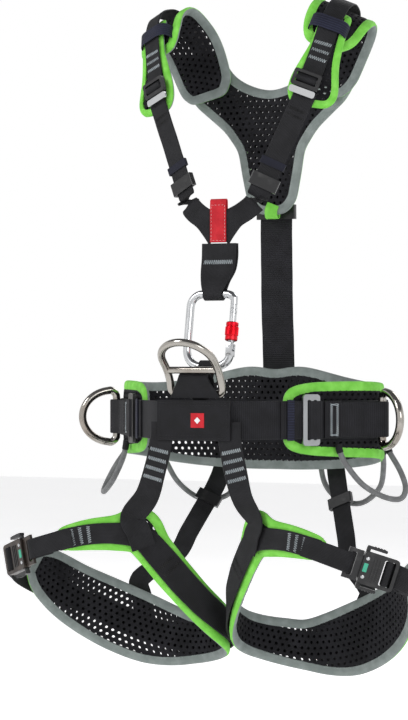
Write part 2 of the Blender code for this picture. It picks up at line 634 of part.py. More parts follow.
def make_sternal():
    """The loop that holds the carabiner's top bar, and the label folded over the straps' joint."""
    layer = WEB + GAP + 0.0001
    top_y, top_z = CARABINER_TOP
    radius = CARABINER_TUBE + WEB / 2 + 0.0007
    front = [(STERNAL_Y - layer, 0.2080, 0.045), (STERNAL_Y - layer - 0.0008, 0.1900, 0.045),
             (-0.0470, 0.1740, 0.043), (-0.0560, 0.1600, 0.034)]
    turns = [math.radians(angle) for angle in (170, 205, 240, 270, 300, 335, 370)]
    under = [(top_y + radius * math.cos(a), top_z + radius * math.sin(a), 0.025) for a in turns]
    back = [(-0.0470, 0.1620, 0.034), (-0.0400, 0.1760, 0.043), (STERNAL_Y + layer, 0.1920, 0.045),
            (STERNAL_Y + layer, 0.2080, 0.045)]
    rows = [[Vector((0.0015 + side * width / 2, y, z)) for side in (-1, 1)]
            for y, z, width in front + under + back]
    sheet("sternal_loop", rows, WEB, webbing())

    ply = WEB / 2 + 0.0010 + GAP
    line = [(STERNAL_Y - ply, 0.2095), (STERNAL_Y - ply, 0.2560), (STERNAL_Y - 0.0011, 0.2605),
            (STERNAL_Y + 0.0011, 0.2605), (STERNAL_Y + ply, 0.2560), (STERNAL_Y + ply, 0.2095)]
    rows = [[Vector((x, y, z)) for x in (-0.0105, 0.0105)] for y, z in line]
    sheet("sternal_label", rows, 0.0010, label_cloth())


def straight_on_chest(part):
    """The frame of a keeper on the straight stretch of the chest strap."""
    first, last = Vector(CHEST_STRAP[0]), Vector(CHEST_STRAP[5])
    return local_frame(first.lerp(last, part), last - first, Vector(CHEST_FACING))


def make_chest_side(tag, side):
    across = Vector(CHEST_FACING).cross(Vector(CHEST_STRAP[1]) - Vector(CHEST_STRAP[0]))
    last_across = Vector((0.77, 0, -0.64))
    ahead = [across.lerp(last_across, max(0, index - 7) / 2) for index in range(len(CHEST_STRAP))]
    stations = [(*place, CHEST_WIDTH, *hint) for place, hint in zip(CHEST_STRAP, ahead)]
    rows = band(smooth(stations, 2))
    if (rows[-1][0].x < rows[-1][1].x):
        rows[-1].reverse()
    ends = [Vector((0.0005, STERNAL_Y, 0.2020)), Vector((0.0005, STERNAL_Y, 0.2480))]
    low_first = rows[-1][0].z < rows[-1][1].z
    rows.append(ends if low_first else ends[::-1])
    if (rows[-2][0] - rows[-3][0]).length > (rows[-2][0] - rows[-3][1]).length:
        rows[-2].reverse()
        rows[-1].reverse()
    sheet("chest_strap_" + tag, rows, WEB, webbing(), side=side)
    strap_ring("chest_keeper_" + tag, straight_on_chest(KEEPER_PLACE), (0.0310, 0.0052),
               (0.0280, 0.0034), 0.009, webbing(), side)
    strap_ring("chest_adjuster_" + tag, straight_on_chest(ADJUSTER_PLACE), (0.0350, 0.0070),
               (0.0282, 0.0036), 0.016, black_metal(), side)

    sheet("shoulder_pad_" + tag, band(smooth(SHOULDER, 3), cells=2), SHOULDER_PAD, padding(), side=side)
    sheet("chest_pad_" + tag, band(smooth(CHEST, 3), cells=2), CHEST_PAD, padding(), side=side)
    make_shoulder_webbing(tag, side)
    make_shoulder_buckle(tag, side)


def make_shoulder_webbing(tag, side):
    front, over, down = (0.86, 0.28, -0.42), (0.90, 0.10, -0.38), (0.90, 0.0, -0.44)
    hints = [front] * 5 + [over] * 2 + [(0.95, 0.0, -0.30)] * 2 + [(0.93, 0.0, -0.35)] * 2 + [down] * 2
    stations = [(*place, SHOULDER_WIDTH, *(-value for value in hint))
                for place, hint in zip(SHOULDER_WEB, hints)]
    sheet("shoulder_webbing_" + tag, band(smooth(stations, 2)), WEB, webbing(), side=side)


def make_shoulder_buckle(tag, side):
    place = Vector((0.0985, -0.0100, 0.3965))
    frame = local_frame(place, Vector((-0.30, -0.18, -0.90)), Vector(CHEST_FACING))
    slots = [rounded(x0, x0 + 0.0042, -0.0130, 0.0130, 0.0010, 1) for x0 in (-0.0105, -0.0030)]
    outline_plate("shoulder_buckle_" + tag, frame, rounded(-0.0140, 0.0060, -0.0170, 0.0170, 0.003), slots,
                  (-0.0022, 0.0022), black_metal(), side)
    hinge = frame @ Vector((0.0075, 0, 0))
    outline_plate("shoulder_lever_" + tag, frame, rounded(0.0070, 0.0150, -0.0160, 0.0160, 0.0025), [],
                  (-0.0012, 0.0012), alloy(), side, hinge)


def make_back():
    half = [[Vector(inner), Vector(inner).lerp(Vector(outer), 0.5), Vector(outer)]
            for inner, outer in BACK_EDGES]
    half = [[Vector(row[3 * k:3 * k + 3]) for k in range(3)]
            for row in smooth([tuple(v for point in row for v in point) for row in half], 2)]
    for row in half[:13]:
        row[0].x = 0.0
    bm = bmesh.new()
    for side in (1, -1):
        grid = [[bm.verts.new((side * p.x, p.y, p.z)) for p in row] for row in half]
        for first, second in zip(grid, grid[1:]):
            for cell in range(2):
                quad = (first[cell], first[cell + 1], second[cell + 1], second[cell])
                bm.faces.new(quad if side > 0 else quad[::-1])
    bmesh.ops.remove_doubles(bm, verts=bm.verts, dist=1e-5)
    thicken(add_object("back_pad", mesh_from("back_pad", bm), padding()), BACK_PAD)

    stations = [(*point, DORSAL_WIDTH, 1.0, 0.0, 0.0) for point in DORSAL]
    sheet("dorsal_strap", band(smooth(stations, 3)), WEB, webbing())
    frame = local_frame(Vector((0, 0.1341, 0.2550)), Vector((0, 0.0007, -0.0380)), Vector((0, 1, 0)))
    strap_ring("dorsal_adjuster", frame, (0.0520, 0.0076), (0.0445, 0.0042), 0.018, black_metal())


# ---------------------------------------------------------------- leg loops

def make_leg_side(tag, side):
    stations = [(*leg_point(angle, 0, height), width, *UP)
                for angle, height, width in smooth(LEG_PAD, 2)]
    sheet("leg_pad_" + tag, band(stations), PAD, padding(), side=side)
    stations = [(*leg_point(angle, lift, height), width, *UP)
                for angle, height, width, lift in smooth(LEG_STRAP, 2)]
    sheet("leg_webbing_" + tag, band(stations), WEB, webbing(), side=side)

    riser = [(0.0430, -0.1040, -0.0020), (0.0440, -0.1041, -0.0250), (0.0520, -0.1058, -0.0600),
             (0.0615, -0.1074, -0.0900)]
    riser += [tuple(leg_point(angle, 0.0104, z))
              for angle, z in ((264, -0.1140), (261, -0.1310), (258, -0.1500))]
    facing = [(1, 0, 0.1)] * 3 + [(0.95, -0.2, 0.25)] + [(0.82, -0.5, 0.25)] * 3
    stations = [(*place, RISER_WIDTH, *hint) for place, hint in zip(riser, facing)]
    sheet("front_riser_" + tag, band(smooth(stations, 3)), WEB, webbing(), side=side)

    rear = [(0.0755, 0.1420, -0.0300), (0.0765, 0.1420, -0.0620), (0.0840, 0.1335, -0.0900),
            (0.0950, 0.1180, -0.1180), (0.1060, 0.1025, -0.1460), (0.1170, 0.0870, -0.1740)]
    rear += [tuple(leg_point(angle, lift, z)) for angle, lift, z in
             ((98, 0.0150, -0.2020), (99, 0.0098, -0.2260), (100, 0.0094, -0.2520))]
    across = [(-1, 0.1, 0)] * 2 + [(-0.92, 0.05, -0.35)] * 4 + [(-0.93, 0.3, -0.2)] + [(-0.93, 0.36, 0)] * 2
    stations = [(*place, REAR_RISER_WIDTH, *hint) for place, hint in zip(rear, across)]
    sheet("rear_riser_" + tag, band(smooth(stations, 3)), WEB, webbing(), side=side)
    first, last = Vector(rear[2]), Vector(rear[3])
    outward = (last - first).cross(Vector((-0.92, 0.05, -0.35)))
    frame = local_frame(first.lerp(last, 0.5), last - first, outward)
    strap_ring("rear_riser_adjuster_" + tag, frame, (0.0330, 0.0070), (0.0262, 0.0038), 0.014,
               black_metal(), side)
    make_leg_buckle(tag, side)


def make_leg_buckle(tag, side):
    """A quick connector: the tongue slides out once the two side levers are pressed."""
    origin = leg_point(LEG_BUCKLE_ANGLE, 0.0080, LEG_BUCKLE_HEIGHT)
    ahead = leg_point(LEG_BUCKLE_ANGLE + 1, 0.0080, LEG_BUCKLE_HEIGHT) - origin
    outward = ahead.cross(Vector(UP))
    along = ahead.normalized() * math.cos(LEG_BUCKLE_DROP) - Vector(UP) * math.sin(LEG_BUCKLE_DROP)
    frame = local_frame(origin, along, outward)
    slots = [rounded(x0, x0 + 0.0050, -0.0145, 0.0145, 0.0012, 1) for x0 in (0.0150, 0.0230)]
    name = "leg_buckle_socket_" + tag
    socket = outline_plate(name, frame, rounded(-0.0090, 0.0320, -0.0185, 0.0185, 0.004), slots,
                           (-0.0048, 0.0048), black_metal(), side)
    boolean(socket, cutter(name + "_mouth", lambda bm: box_into(
        bm, (-0.0120, -0.0136, -0.0022), (0.0125, 0.0136, 0.0022), frame), side), "DIFFERENCE")

    tongue = [(-0.0270, -0.0175), (-0.0100, -0.0175), (-0.0100, -0.0125), (0.0080, -0.0125), (0.0118, -0.0090),
              (0.0118, 0.0090), (0.0080, 0.0125), (-0.0100, 0.0125), (-0.0100, 0.0175), (-0.0270, 0.0175)]
    bar_slot = rounded(-0.0230, -0.0170, -0.0135, 0.0135, 0.0012, 1)
    catch = rounded(-0.0010, 0.0050, -0.0050, 0.0050, 0.0012, 1)
    outline_plate("leg_buckle_tongue_" + tag, frame, tongue, [bar_slot, catch], (-0.0016, 0.0016),
                  black_metal(), side)

    for place, sign in (("upper", 1), ("lower", -1)):
        ends = sorted((sign * 0.0215, sign * 0.0250))
        outline = rounded(-0.0080, 0.0150, ends[0], ends[1], 0.0012, 2)
        pivot = frame @ Vector((-0.0060, sign * 0.0232, 0))
        outline_plate("release_lever_" + place + "_" + tag, frame, outline, [], (-0.0030, 0.0030),
                      alloy(), side, pivot)


# ---------------------------------------------------------------- whole harness

def main():
    for obj in list(bpy.data.objects):
        bpy.data.objects.remove(obj, do_unlink=True)
    make_waist()
    make_ring()
    make_carabiner()
    make_tie_in_loop()
    make_sternal()
    make_back()
    for tag, side in pairs():
        make_waist_side(tag, side)
        make_chest_side(tag, side)
        make_leg_side(tag, side)


main()
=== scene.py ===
"""Looks of the tree climbing saddle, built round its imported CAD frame.

Everything is in metres in the frame's own axes: +Z up, the wearer faces -Y, +X is the wearer's left.
The +X side is modelled and mirrored for the names that end in _R.
"""
import json
import math

import bmesh
import bpy
import numpy as np
from mathutils import Matrix, Vector

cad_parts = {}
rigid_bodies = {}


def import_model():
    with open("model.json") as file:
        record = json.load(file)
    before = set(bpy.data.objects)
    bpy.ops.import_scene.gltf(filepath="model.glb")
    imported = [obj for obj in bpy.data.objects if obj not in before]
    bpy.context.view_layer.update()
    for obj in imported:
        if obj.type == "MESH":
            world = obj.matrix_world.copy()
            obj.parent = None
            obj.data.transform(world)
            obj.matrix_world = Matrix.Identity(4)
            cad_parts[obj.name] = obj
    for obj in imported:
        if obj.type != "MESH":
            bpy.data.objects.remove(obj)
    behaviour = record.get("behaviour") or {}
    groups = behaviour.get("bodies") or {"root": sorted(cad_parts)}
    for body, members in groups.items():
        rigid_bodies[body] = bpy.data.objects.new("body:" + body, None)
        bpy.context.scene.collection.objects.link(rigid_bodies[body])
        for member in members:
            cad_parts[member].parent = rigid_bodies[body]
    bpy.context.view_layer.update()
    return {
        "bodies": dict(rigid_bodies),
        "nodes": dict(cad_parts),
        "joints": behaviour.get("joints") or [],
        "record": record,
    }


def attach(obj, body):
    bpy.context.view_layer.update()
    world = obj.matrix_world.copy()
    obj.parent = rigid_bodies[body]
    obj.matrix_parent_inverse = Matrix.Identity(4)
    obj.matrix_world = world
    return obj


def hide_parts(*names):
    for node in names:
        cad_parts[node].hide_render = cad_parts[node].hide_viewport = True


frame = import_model()

UP = Vector((0, 0, 1))
BODY = "harness"
SIDES = (("L", 1), ("R", -1))
WEB = 0.0022
BELT_WEB = 0.0024

# ---------------------------------------------------------------- routes, as in the CAD model

WAIST_HALF = [
    (0.0, -0.0925), (0.044, -0.0915), (0.078, -0.062), (0.11, -0.025), (0.14, 0.01),
    (0.163, 0.044), (0.16, 0.08), (0.138, 0.107), (0.095, 0.1235), (0.045, 0.13),
    (0.0, 0.131),
]
WAIST_LOOP = WAIST_HALF + [(-x, y) for x, y in reversed(WAIST_HALF[1:-1])]
# place along the belt, lower and upper edge of its pad
WAIST_EDGES = [
    (2.3, -0.027, 0.029), (2.45, -0.035, 0.037), (3.0, -0.041, 0.043), (4.0, -0.044, 0.0445),
    (5.0, -0.046, 0.044), (6.0, -0.05, 0.042), (7.0, -0.057, 0.042), (8.0, -0.063, 0.049),
    (9.15, -0.066, 0.0616), (10.0, -0.066, 0.0574),
]
WAIST_PLACES = 20       # places of the closed waist outline
BELT_WIDTH = 0.045
BELT_LIFT = 0.0075
BUCKLE_LIFT = 0.0122

LEG_CENTRE = (0.1285, -0.036)
LEG_LONG = 0.125
LEG_SHORT = 0.079
LEG_YAW = math.radians(-25)
# angle on the leg loop, height of the middle, width
LEG_PAD = [
    (26, -0.174, 0.034), (35, -0.185, 0.055), (45, -0.198, 0.066), (60, -0.219, 0.075),
    (75, -0.237, 0.082), (90, -0.253, 0.085), (105, -0.2655, 0.083), (120, -0.272, 0.073),
    (135, -0.2735, 0.06), (150, -0.27, 0.056), (165, -0.265, 0.052), (180, -0.2585, 0.05),
    (195, -0.249, 0.048), (210, -0.235, 0.046), (225, -0.2135, 0.044), (240, -0.183, 0.044),
    (250, -0.158, 0.044), (260, -0.137, 0.043), (272, -0.134, 0.04), (285, -0.135, 0.037),
    (300, -0.14, 0.03), (304, -0.1425, 0.026), (308, -0.1445, 0.02),
]
# the same with the lift from the middle of the pad
LEG_STRAP = [
    (-2, -0.1765, 0.028, 0.0105), (7, -0.181, 0.028, 0.011), (16, -0.187, 0.028, 0.012), (32, -0.2, 0.028, 0.013),
    (48, -0.214, 0.028, 0.011), (64, -0.228, 0.028, 0.0085), (80, -0.243, 0.028, 0.0069),
    (100, -0.262, 0.028, 0.0067), (120, -0.272, 0.029, 0.0067), (140, -0.2725, 0.031, 0.0074),
    (160, -0.267, 0.033, 0.0074), (180, -0.2585, 0.033, 0.0074), (200, -0.2445, 0.033, 0.0074),
    (220, -0.2215, 0.033, 0.0074), (235, -0.194, 0.033, 0.0074), (248, -0.163, 0.032, 0.0067),
    (259, -0.1385, 0.029, 0.0067), (272, -0.1335, 0.025, 0.0067), (286, -0.1345, 0.024, 0.0067),
    (300, -0.1405, 0.024, 0.0067), (305, -0.1435, 0.024, 0.007),
]
# x, y, z, width and the direction across
SHOULDER = [
    (0.078, 0.1, 0.395, 0.046, 1.0, 0.0, 0.0), (0.0815, 0.1022, 0.408, 0.066, 1.0, 0.0, 0.0),
    (0.087, 0.104, 0.425, 0.074, 1.0, 0.0, 0.0), (0.1, 0.103, 0.458, 0.078, 0.97, 0.0, -0.22),
    (0.112, 0.093, 0.481, 0.078, 0.9, 0.1, -0.38), (0.117, 0.074, 0.489, 0.078, 0.87, 0.2, -0.42),
    (0.117, 0.052, 0.481, 0.076, 0.86, 0.28, -0.42), (0.113, 0.036, 0.462, 0.07, 0.86, 0.28, -0.42),
    (0.11, 0.03, 0.451, 0.06, 0.86, 0.28, -0.42), (0.108, 0.026, 0.442, 0.042, 0.86, 0.28, -0.42),
]
CHEST = [
    (0.1205, 0.045, 0.4845, 0.034, 0.86, 0.28, -0.42), (0.119, 0.029, 0.467, 0.036, 0.86, 0.28, -0.42),
    (0.114, 0.019, 0.442, 0.038, 0.86, 0.28, -0.42), (0.108, 0.012, 0.419, 0.047, 0.86, 0.28, -0.42),
    (0.104, 0.006, 0.398, 0.058, 0.86, 0.28, -0.42), (0.102, 0.002, 0.38, 0.058, 0.88, 0.28, -0.36),
    (0.101, 0.0, 0.369, 0.04, 0.88, 0.28, -0.36),
]
SHOULDER_WEB = [
    (0.1014, -0.0009, 0.404), (0.1054, 0.0041, 0.4185), (0.1114, 0.0109, 0.4405),
    (0.1175, 0.0194, 0.4675), (0.122, 0.037, 0.491), (0.1215, 0.06, 0.5005),
    (0.119, 0.08, 0.501), (0.113, 0.1035, 0.4925), (0.101, 0.119, 0.468),
    (0.086, 0.1228, 0.436), (0.069, 0.124, 0.406), (0.048, 0.1275, 0.374),
    (0.034, 0.1285, 0.348),
]
CHEST_STRAP = [
    (0.098, -0.006, 0.386), (0.0895, -0.00972, 0.366), (0.081, -0.01343, 0.346),
    (0.0725, -0.01715, 0.326), (0.064, -0.02087, 0.306), (0.0555, -0.02458, 0.286),
    (0.047, -0.0283, 0.266), (0.04275, -0.03016, 0.256), (0.0335, -0.0348, 0.247),
    (0.0215, -0.0385, 0.239),
]
CHEST_FACING = Vector((0.3256, -0.9455, 0.0))
STERNAL_Y = -0.0385
# outline of the back pad's +X half, x and z from the tip to the notch
BACK_HALF = [
    (0.0, 0.25), (0.02, 0.253), (0.033, 0.268), (0.04, 0.303), (0.0445, 0.331),
    (0.062, 0.356), (0.077, 0.369), (0.09, 0.38), (0.1, 0.388), (0.11, 0.403),
    (0.12, 0.428), (0.13, 0.443), (0.133, 0.453), (0.07, 0.459), (0.0625, 0.444),
    (0.05, 0.426), (0.036, 0.416), (0.018, 0.4085), (0.0, 0.405),
]
DORSAL = [
    (0.0, 0.128, 0.34), (0.0, 0.1305, 0.305), (0.0, 0.1335, 0.278), (0.0, 0.1342, 0.24),
    (0.0, 0.1345, 0.2), (0.0, 0.137, 0.13), (0.0, 0.1405, 0.08), (0.0, 0.1422, 0.045),
    (0.0, 0.1424, -0.018),
]

D_BAR = (0.1769, 0.04)
D_HALF_HEIGHT = 0.032
D_REACH = 0.043
D_TUBE = 0.0048
D_FOLD = math.radians(-41)
RING_HALF_WIDTH = 0.0325
RING_TUBE = 0.0045
RING_CROSSBAR = 0.031
RING_STRAIGHT = 0.046
RING_LINE = [
    (-0.0995, 0.0305), (-0.103, 0.043), (-0.1116, 0.0575), (-0.127, 0.072), (-0.14, 0.0832),
    (-0.148, 0.0905),
]
CARABINER_TOP = (-0.055, 0.1475)
CARABINER_LEAN = math.radians(11)
CARABINER_HEIGHT = 0.087
CARABINER_HALF_WIDTH = 0.028
CARABINER_TUBE = 0.0048
GATE_PIVOT = -0.063
GATE_TOP = -0.0132
SLEEVE_BOTTOM = -0.056
SLEEVE_LENGTH = 0.022
GEAR_TUBE = 0.0034
GEAR_FRONT_MIDDLE = [
    (0.147, -0.002, -0.052), (0.164, 0.008, -0.076), (0.184, 0.026, -0.091),
    (0.1975, 0.045, -0.094), (0.199, 0.059, -0.082), (0.19, 0.065, -0.062),
]
GEAR_REAR_MIDDLE = [
    (0.147, 0.123, -0.061), (0.138, 0.136, -0.085), (0.118, 0.144, -0.103),
    (0.098, 0.148, -0.108), (0.074, 0.15, -0.101), (0.059, 0.148, -0.082),
]


# ---------------------------------------------------------------- curves

def blend(t, a, b, c, d):
    """One number of a Catmull-Rom curve between b and c."""
    cubic = 3 * b - a - 3 * c + d
    square = 2 * a - 5 * b + 4 * c - d
    return 0.5 * (2 * b + (c - a) * t + square * t * t + cubic * t ** 3)


def smooth(rows, per_span, closed=False):
    """Sample the Catmull-Rom curve through rows of numbers."""
    count = len(rows)

    def row(index):
        if closed:
            return rows[index % count]
        if index < 0:
            return tuple(2 * a - b for a, b in zip(rows[0], rows[1]))
        if index >= count:
            return tuple(2 * a - b for a, b in zip(rows[-1], rows[-2]))
        return rows[index]

    samples = []
    for span in range(count if closed else count - 1):
        around = [row(span + step) for step in (-1, 0, 1, 2)]
        for step in range(per_span):
            samples.append(tuple(blend(step / per_span, *values) for values in zip(*around)))
    if not closed:
        samples.append(tuple(rows[-1]))
    return samples


def tangents(points, closed=False):
    """The direction of a chain of points at each of them."""
    last = len(points) - 1
    result = []
    for index in range(len(points)):
        before = points[index - 1] if closed or index > 0 else points[0]
        after = points[(index + 1) % len(points)] if closed or index < last else points[last]
        result.append((after - before).normalized())
    return result


def waist_point(place, lift, height):
    """A point on the belt line; place counts the outline's points from the front centre."""
    whole = math.floor(place)
    count = len(WAIST_LOOP)
    around = [WAIST_LOOP[(whole + step) % count] for step in (-1, 0, 1, 2)]
    step = 1e-3
    here = [blend(place - whole, *values) for values in zip(*around)]
    ahead = [blend(place - whole + step, *values) for values in zip(*around)]
    along = Vector((ahead[0] - here[0], ahead[1] - here[1], 0)).normalized()
    return Vector((here[0], here[1], height)) + along.cross(UP) * lift


def leg_point(degrees, lift, height):
    """A point of the +X leg loop, lifted outward from the middle of its pad."""
    angle = math.radians(degrees)
    long_axis = Vector((math.cos(LEG_YAW), math.sin(LEG_YAW), 0))
    short_axis = Vector((-math.sin(LEG_YAW), math.cos(LEG_YAW), 0))
    place = LEG_LONG * math.cos(angle) * long_axis + LEG_SHORT * math.sin(angle) * short_axis
    outward = (math.cos(angle) / LEG_LONG) * long_axis + (math.sin(angle) / LEG_SHORT) * short_axis
    return Vector((*LEG_CENTRE, height)) + place + outward.normalized() * lift


def local_frame(origin, along, outward):
    """A matrix whose x runs along, y across and z outward."""
    x_axis = along.normalized()
    z_axis = (outward - outward.dot(x_axis) * x_axis).normalized()
    y_axis = z_axis.cross(x_axis)
    return Matrix.Translation(origin) @ Matrix((x_axis, y_axis, z_axis)).transposed().to_4x4()


class Ribbon:
    """A strip in space: s runs along it in metres, t across it, h out of its face."""

    def __init__(self, stations, closed=False):
        self.closed = closed
        rows = [Vector(station[:3]) for station in stations]
        along = tangents(rows, closed)
        across = []
        for direction, station in zip(along, stations):
            hint = Vector(station[4:7])
            across.append((hint - hint.dot(direction) * direction).normalized())
        if closed:
            rows, along, across = rows + rows[:1], along + along[:1], across + across[:1]
        self.lengths = [0.0]
        for first, second in zip(rows, rows[1:]):
            self.lengths.append(self.lengths[-1] + (second - first).length)
        self.total = self.lengths[-1]
        self.rows, self.along, self.across = rows, along, across
        self.widths = [station[3] for station in stations] + ([stations[0][3]] if closed else [])

    def find(self, s):
        s = s % self.total if self.closed else min(max(s, 0.0), self.total)
        index = int(np.searchsorted(self.lengths, s, side="right")) - 1
        index = min(max(index, 0), len(self.rows) - 2)
        span = self.lengths[index + 1] - self.lengths[index]
        return index, (s - self.lengths[index]) / span

    def width(self, s):
        index, part = self.find(s)
        return self.widths[index] * (1 - part) + self.widths[index + 1] * part

    def axes(self, s):
        """Centre, direction along, direction across and outward normal."""
        index, part = self.find(s)
        centre = self.rows[index].lerp(self.rows[index + 1], part)
        along = self.along[index].lerp(self.along[index + 1], part).normalized()
        across = self.across[index].lerp(self.across[index + 1], part)
        across = (across - across.dot(along) * along).normalized()
        return centre, along, across, along.cross(across)

    def point(self, s, t, h=0.0):
        extra = 0.0 if self.closed else s - min(max(s, 0.0), self.total)
        centre, along, across, normal = self.axes(s)
        return centre + along * extra + across * t + normal * h

    def matrix(self, s, t=0.0, h=0.0):
        centre, along, across, normal = self.axes(s)
        matrix = Matrix((along, across, normal)).transposed().to_4x4()
        return Matrix.Translation(centre + across * t + normal * h) @ matrix


# ---------------------------------------------------------------- materials

WAVE_SCALE = 0.314      # scale times period of Blender's band pattern


def new_material(name, color, roughness, metallic=0.0, sheen=0.0, coat=0.0, specular=0.5):
    made = bpy.data.materials.new(name)
    made.use_nodes = True
    shader = made.node_tree.nodes["Principled BSDF"]
    shader.inputs["Base Color"].default_value = (*color, 1)
    shader.inputs["Roughness"].default_value = roughness
    shader.inputs["Metallic"].default_value = metallic
    shader.inputs["Sheen Weight"].default_value = sheen
    shader.inputs["Sheen Roughness"].default_value = 0.5
    shader.inputs["Specular IOR Level"].default_value = specular
    shader.inputs["Coat Weight"].default_value = coat
    made["plain_color"] = color
    return made


def node(made, kind, **values):
    """Add a node, setting its properties or its inputs by name."""
    added = made.node_tree.nodes.new(kind)
    for key, value in values.items():
        if key in added.inputs:
            added.inputs[key].default_value = value
        else:
            setattr(added, key, value)
    return added


def link(made, source, target):
    made.node_tree.links.new(source, target)


def shader_of(made):
    return made.node_tree.nodes["Principled BSDF"]


def pattern(made, kind, coordinates="Object", **values):
    """Add a texture node that reads the coordinates of that name."""
    added = node(made, kind, **values)
    link(made, node(made, "ShaderNodeTexCoord").outputs[coordinates], added.inputs["Vector"])
    return added


def noise(made, scale, detail):
    """A noise in the object's own space."""
    return pattern(made, "ShaderNodeTexNoise", Scale=scale, Detail=detail).outputs["Fac"]


def vary_color(made, other, scale, low, high):
    """Mix the base colour with another by a noise in space."""
    ramp = node(made, "ShaderNodeValToRGB")
    ramp.color_ramp.elements[0].position = low
    ramp.color_ramp.elements[1].position = high
    ramp.color_ramp.elements[0].color = (*made["plain_color"], 1)
    ramp.color_ramp.elements[1].color = (*other, 1)
    link(made, noise(made, scale, 5.0), ramp.inputs["Fac"])
    link(made, ramp.outputs["Color"], shader_of(made).inputs["Base Color"])
    return ramp


def vary_roughness(made, scale, low, high):
    """Spread the roughness between two values by a noise in space."""
    spread = node(made, "ShaderNodeMapRange")
    spread.inputs["From Min"].default_value = 0.3
    spread.inputs["From Max"].default_value = 0.7
    spread.inputs["To Min"].default_value = low
    spread.inputs["To Max"].default_value = high
    link(made, noise(made, scale, 6.0), spread.inputs["Value"])
    link(made, spread.outputs["Result"], shader_of(made).inputs["Roughness"])


def add_bump(made, height, distance, strength=1.0):
    """Chain one more bump, whose height comes from a socket."""
    bump = node(made, "ShaderNodeBump", Strength=strength, Distance=distance)
    link(made, height, bump.inputs["Height"])
    target = shader_of(made).inputs["Normal"]
    if target.links:
        link(made, target.links[0].from_socket, bump.inputs["Normal"])
    link(made, bump.outputs["Normal"], target)


def wave(made, period, axis="X"):
    """A band pattern of that period in metres."""
    bands = pattern(made, "ShaderNodeTexWave", "UV", wave_type="BANDS", bands_direction=axis, wave_profile="SIN",
                    Scale=WAVE_SCALE / period, Distortion=0.0, Detail=0.0)
    return bands.outputs["Fac"]


def woven(name, color, other, rib=0.0016, pick=0.0011, axis="X"):
    """Webbing: ribs along it, picks across it, with uneven dye and a little fuzz."""
    made = new_material(name, color, 0.72, sheen=0.02, specular=0.28)
    ramp = vary_color(made, other, 55, 0.38, 0.7)
    ribs = wave(made, rib, axis)
    picks = wave(made, pick, "DIAGONAL")
    shade = node(made, "ShaderNodeMapRange")
    shade.inputs["To Min"].default_value = 0.55
    shade.inputs["To Max"].default_value = 1.35
    link(made, ribs, shade.inputs["Value"])
    mix = node(made, "ShaderNodeVectorMath", operation="SCALE")
    link(made, ramp.outputs["Color"], mix.inputs[0])
    link(made, shade.outputs["Result"], mix.inputs["Scale"])
    link(made, mix.outputs["Vector"], shader_of(made).inputs["Base Color"])
    add_bump(made, ribs, 0.0004, 0.8)
    add_bump(made, picks, 0.0002, 0.5)
    return made


def foam_mesh(name, color, other):
    """Knitted spacer fabric on foam: a fine cell pattern."""
    made = new_material(name, color, 0.82, sheen=0.02, specular=0.2)
    vary_color(made, other, 40, 0.35, 0.7)
    add_bump(made, pattern(made, "ShaderNodeTexVoronoi", Scale=900).outputs["Distance"], 0.0004, 0.7)
    return made


def tape(name, color, other):
    """Binding tape: a tight grosgrain."""
    made = new_material(name, color, 0.72, sheen=0.04, specular=0.25)
    vary_color(made, other, 70, 0.4, 0.7)
    add_bump(made, wave(made, 0.0012, "Y"), 0.0003, 0.6)
    add_bump(made, noise(made, 160, 3.0), 0.0009, 0.5)
    return made


def metal(name, color, other, low, high):
    """Bare or anodised metal with fine scratches."""
    made = new_material(name, color, (low + high) / 2, metallic=1.0)
    vary_color(made, other, 30, 0.45, 0.75)
    vary_roughness(made, 120, low, high)
    add_bump(made, noise(made, 700, 4.0), 0.00005, 0.35)
    return made


def coated(name, color, other, metallic=0.35):
    """Black coated metal, worn a little at random."""
    made = new_material(name, color, 0.4, metallic=metallic, coat=0.15)
    vary_color(made, other, 90, 0.55, 0.85)
    vary_roughness(made, 200, 0.28, 0.5)
    add_bump(made, noise(made, 1500, 3.0), 0.00008, 0.4)
    return made


BLACK_WEB = woven("black_webbing", (0.006, 0.006, 0.0075), (0.012, 0.012, 0.0145))
BELT_BLACK = woven("belt_webbing", (0.0055, 0.0055, 0.0075), (0.0115, 0.0115, 0.015), rib=0.0024, pick=0.0014,
                   axis="Y")
SMOOTH_BLACK = woven("panel_cloth", (0.0055, 0.0055, 0.007), (0.01, 0.01, 0.013), rib=0.0011, pick=0.0011)
ELASTIC = woven("navy_elastic", (0.008, 0.009, 0.022), (0.014, 0.016, 0.036), rib=0.003, pick=0.0009)
FOAM = foam_mesh("foam_mesh", (0.005, 0.005, 0.0065), (0.013, 0.013, 0.016))
GREEN_TAPE = tape("green_tape", (0.16, 0.54, 0.055), (0.24, 0.68, 0.1))
GREY_TAPE = tape("grey_tape", (0.18, 0.21, 0.2), (0.245, 0.28, 0.268))
SILVER_THREAD = tape("silver_thread", (0.34, 0.38, 0.4), (0.46, 0.5, 0.52))
BLACK_THREAD = tape("black_thread", (0.012, 0.012, 0.012), (0.03, 0.03, 0.03))
GREEN_THREAD = tape("green_thread", (0.08, 0.34, 0.03), (0.12, 0.44, 0.05))
RED_CLOTH = tape("red_label_cloth", (0.42, 0.01, 0.018), (0.55, 0.02, 0.03))
WHITE_THREAD = tape("white_thread", (0.75, 0.75, 0.75), (0.6, 0.6, 0.6))
STEEL = metal("polished_steel", (0.38, 0.36, 0.33), (0.24, 0.2, 0.165), 0.1, 0.26)
BRIGHT = metal("bright_alloy", (0.55, 0.56, 0.57), (0.42, 0.43, 0.44), 0.14, 0.3)
GREY_METAL = metal("grey_alloy_finish", (0.34, 0.35, 0.36), (0.24, 0.25, 0.26), 0.28, 0.45)
BLACK_METAL = coated("black_coat", (0.014, 0.014, 0.015), (0.045, 0.045, 0.045))
BRONZE_BLACK = coated("worn_black_coat", (0.03, 0.022, 0.018), (0.09, 0.065, 0.05))
RED_METAL = metal("red_anodised", (0.62, 0.01, 0.02), (0.75, 0.04, 0.05), 0.22, 0.38)
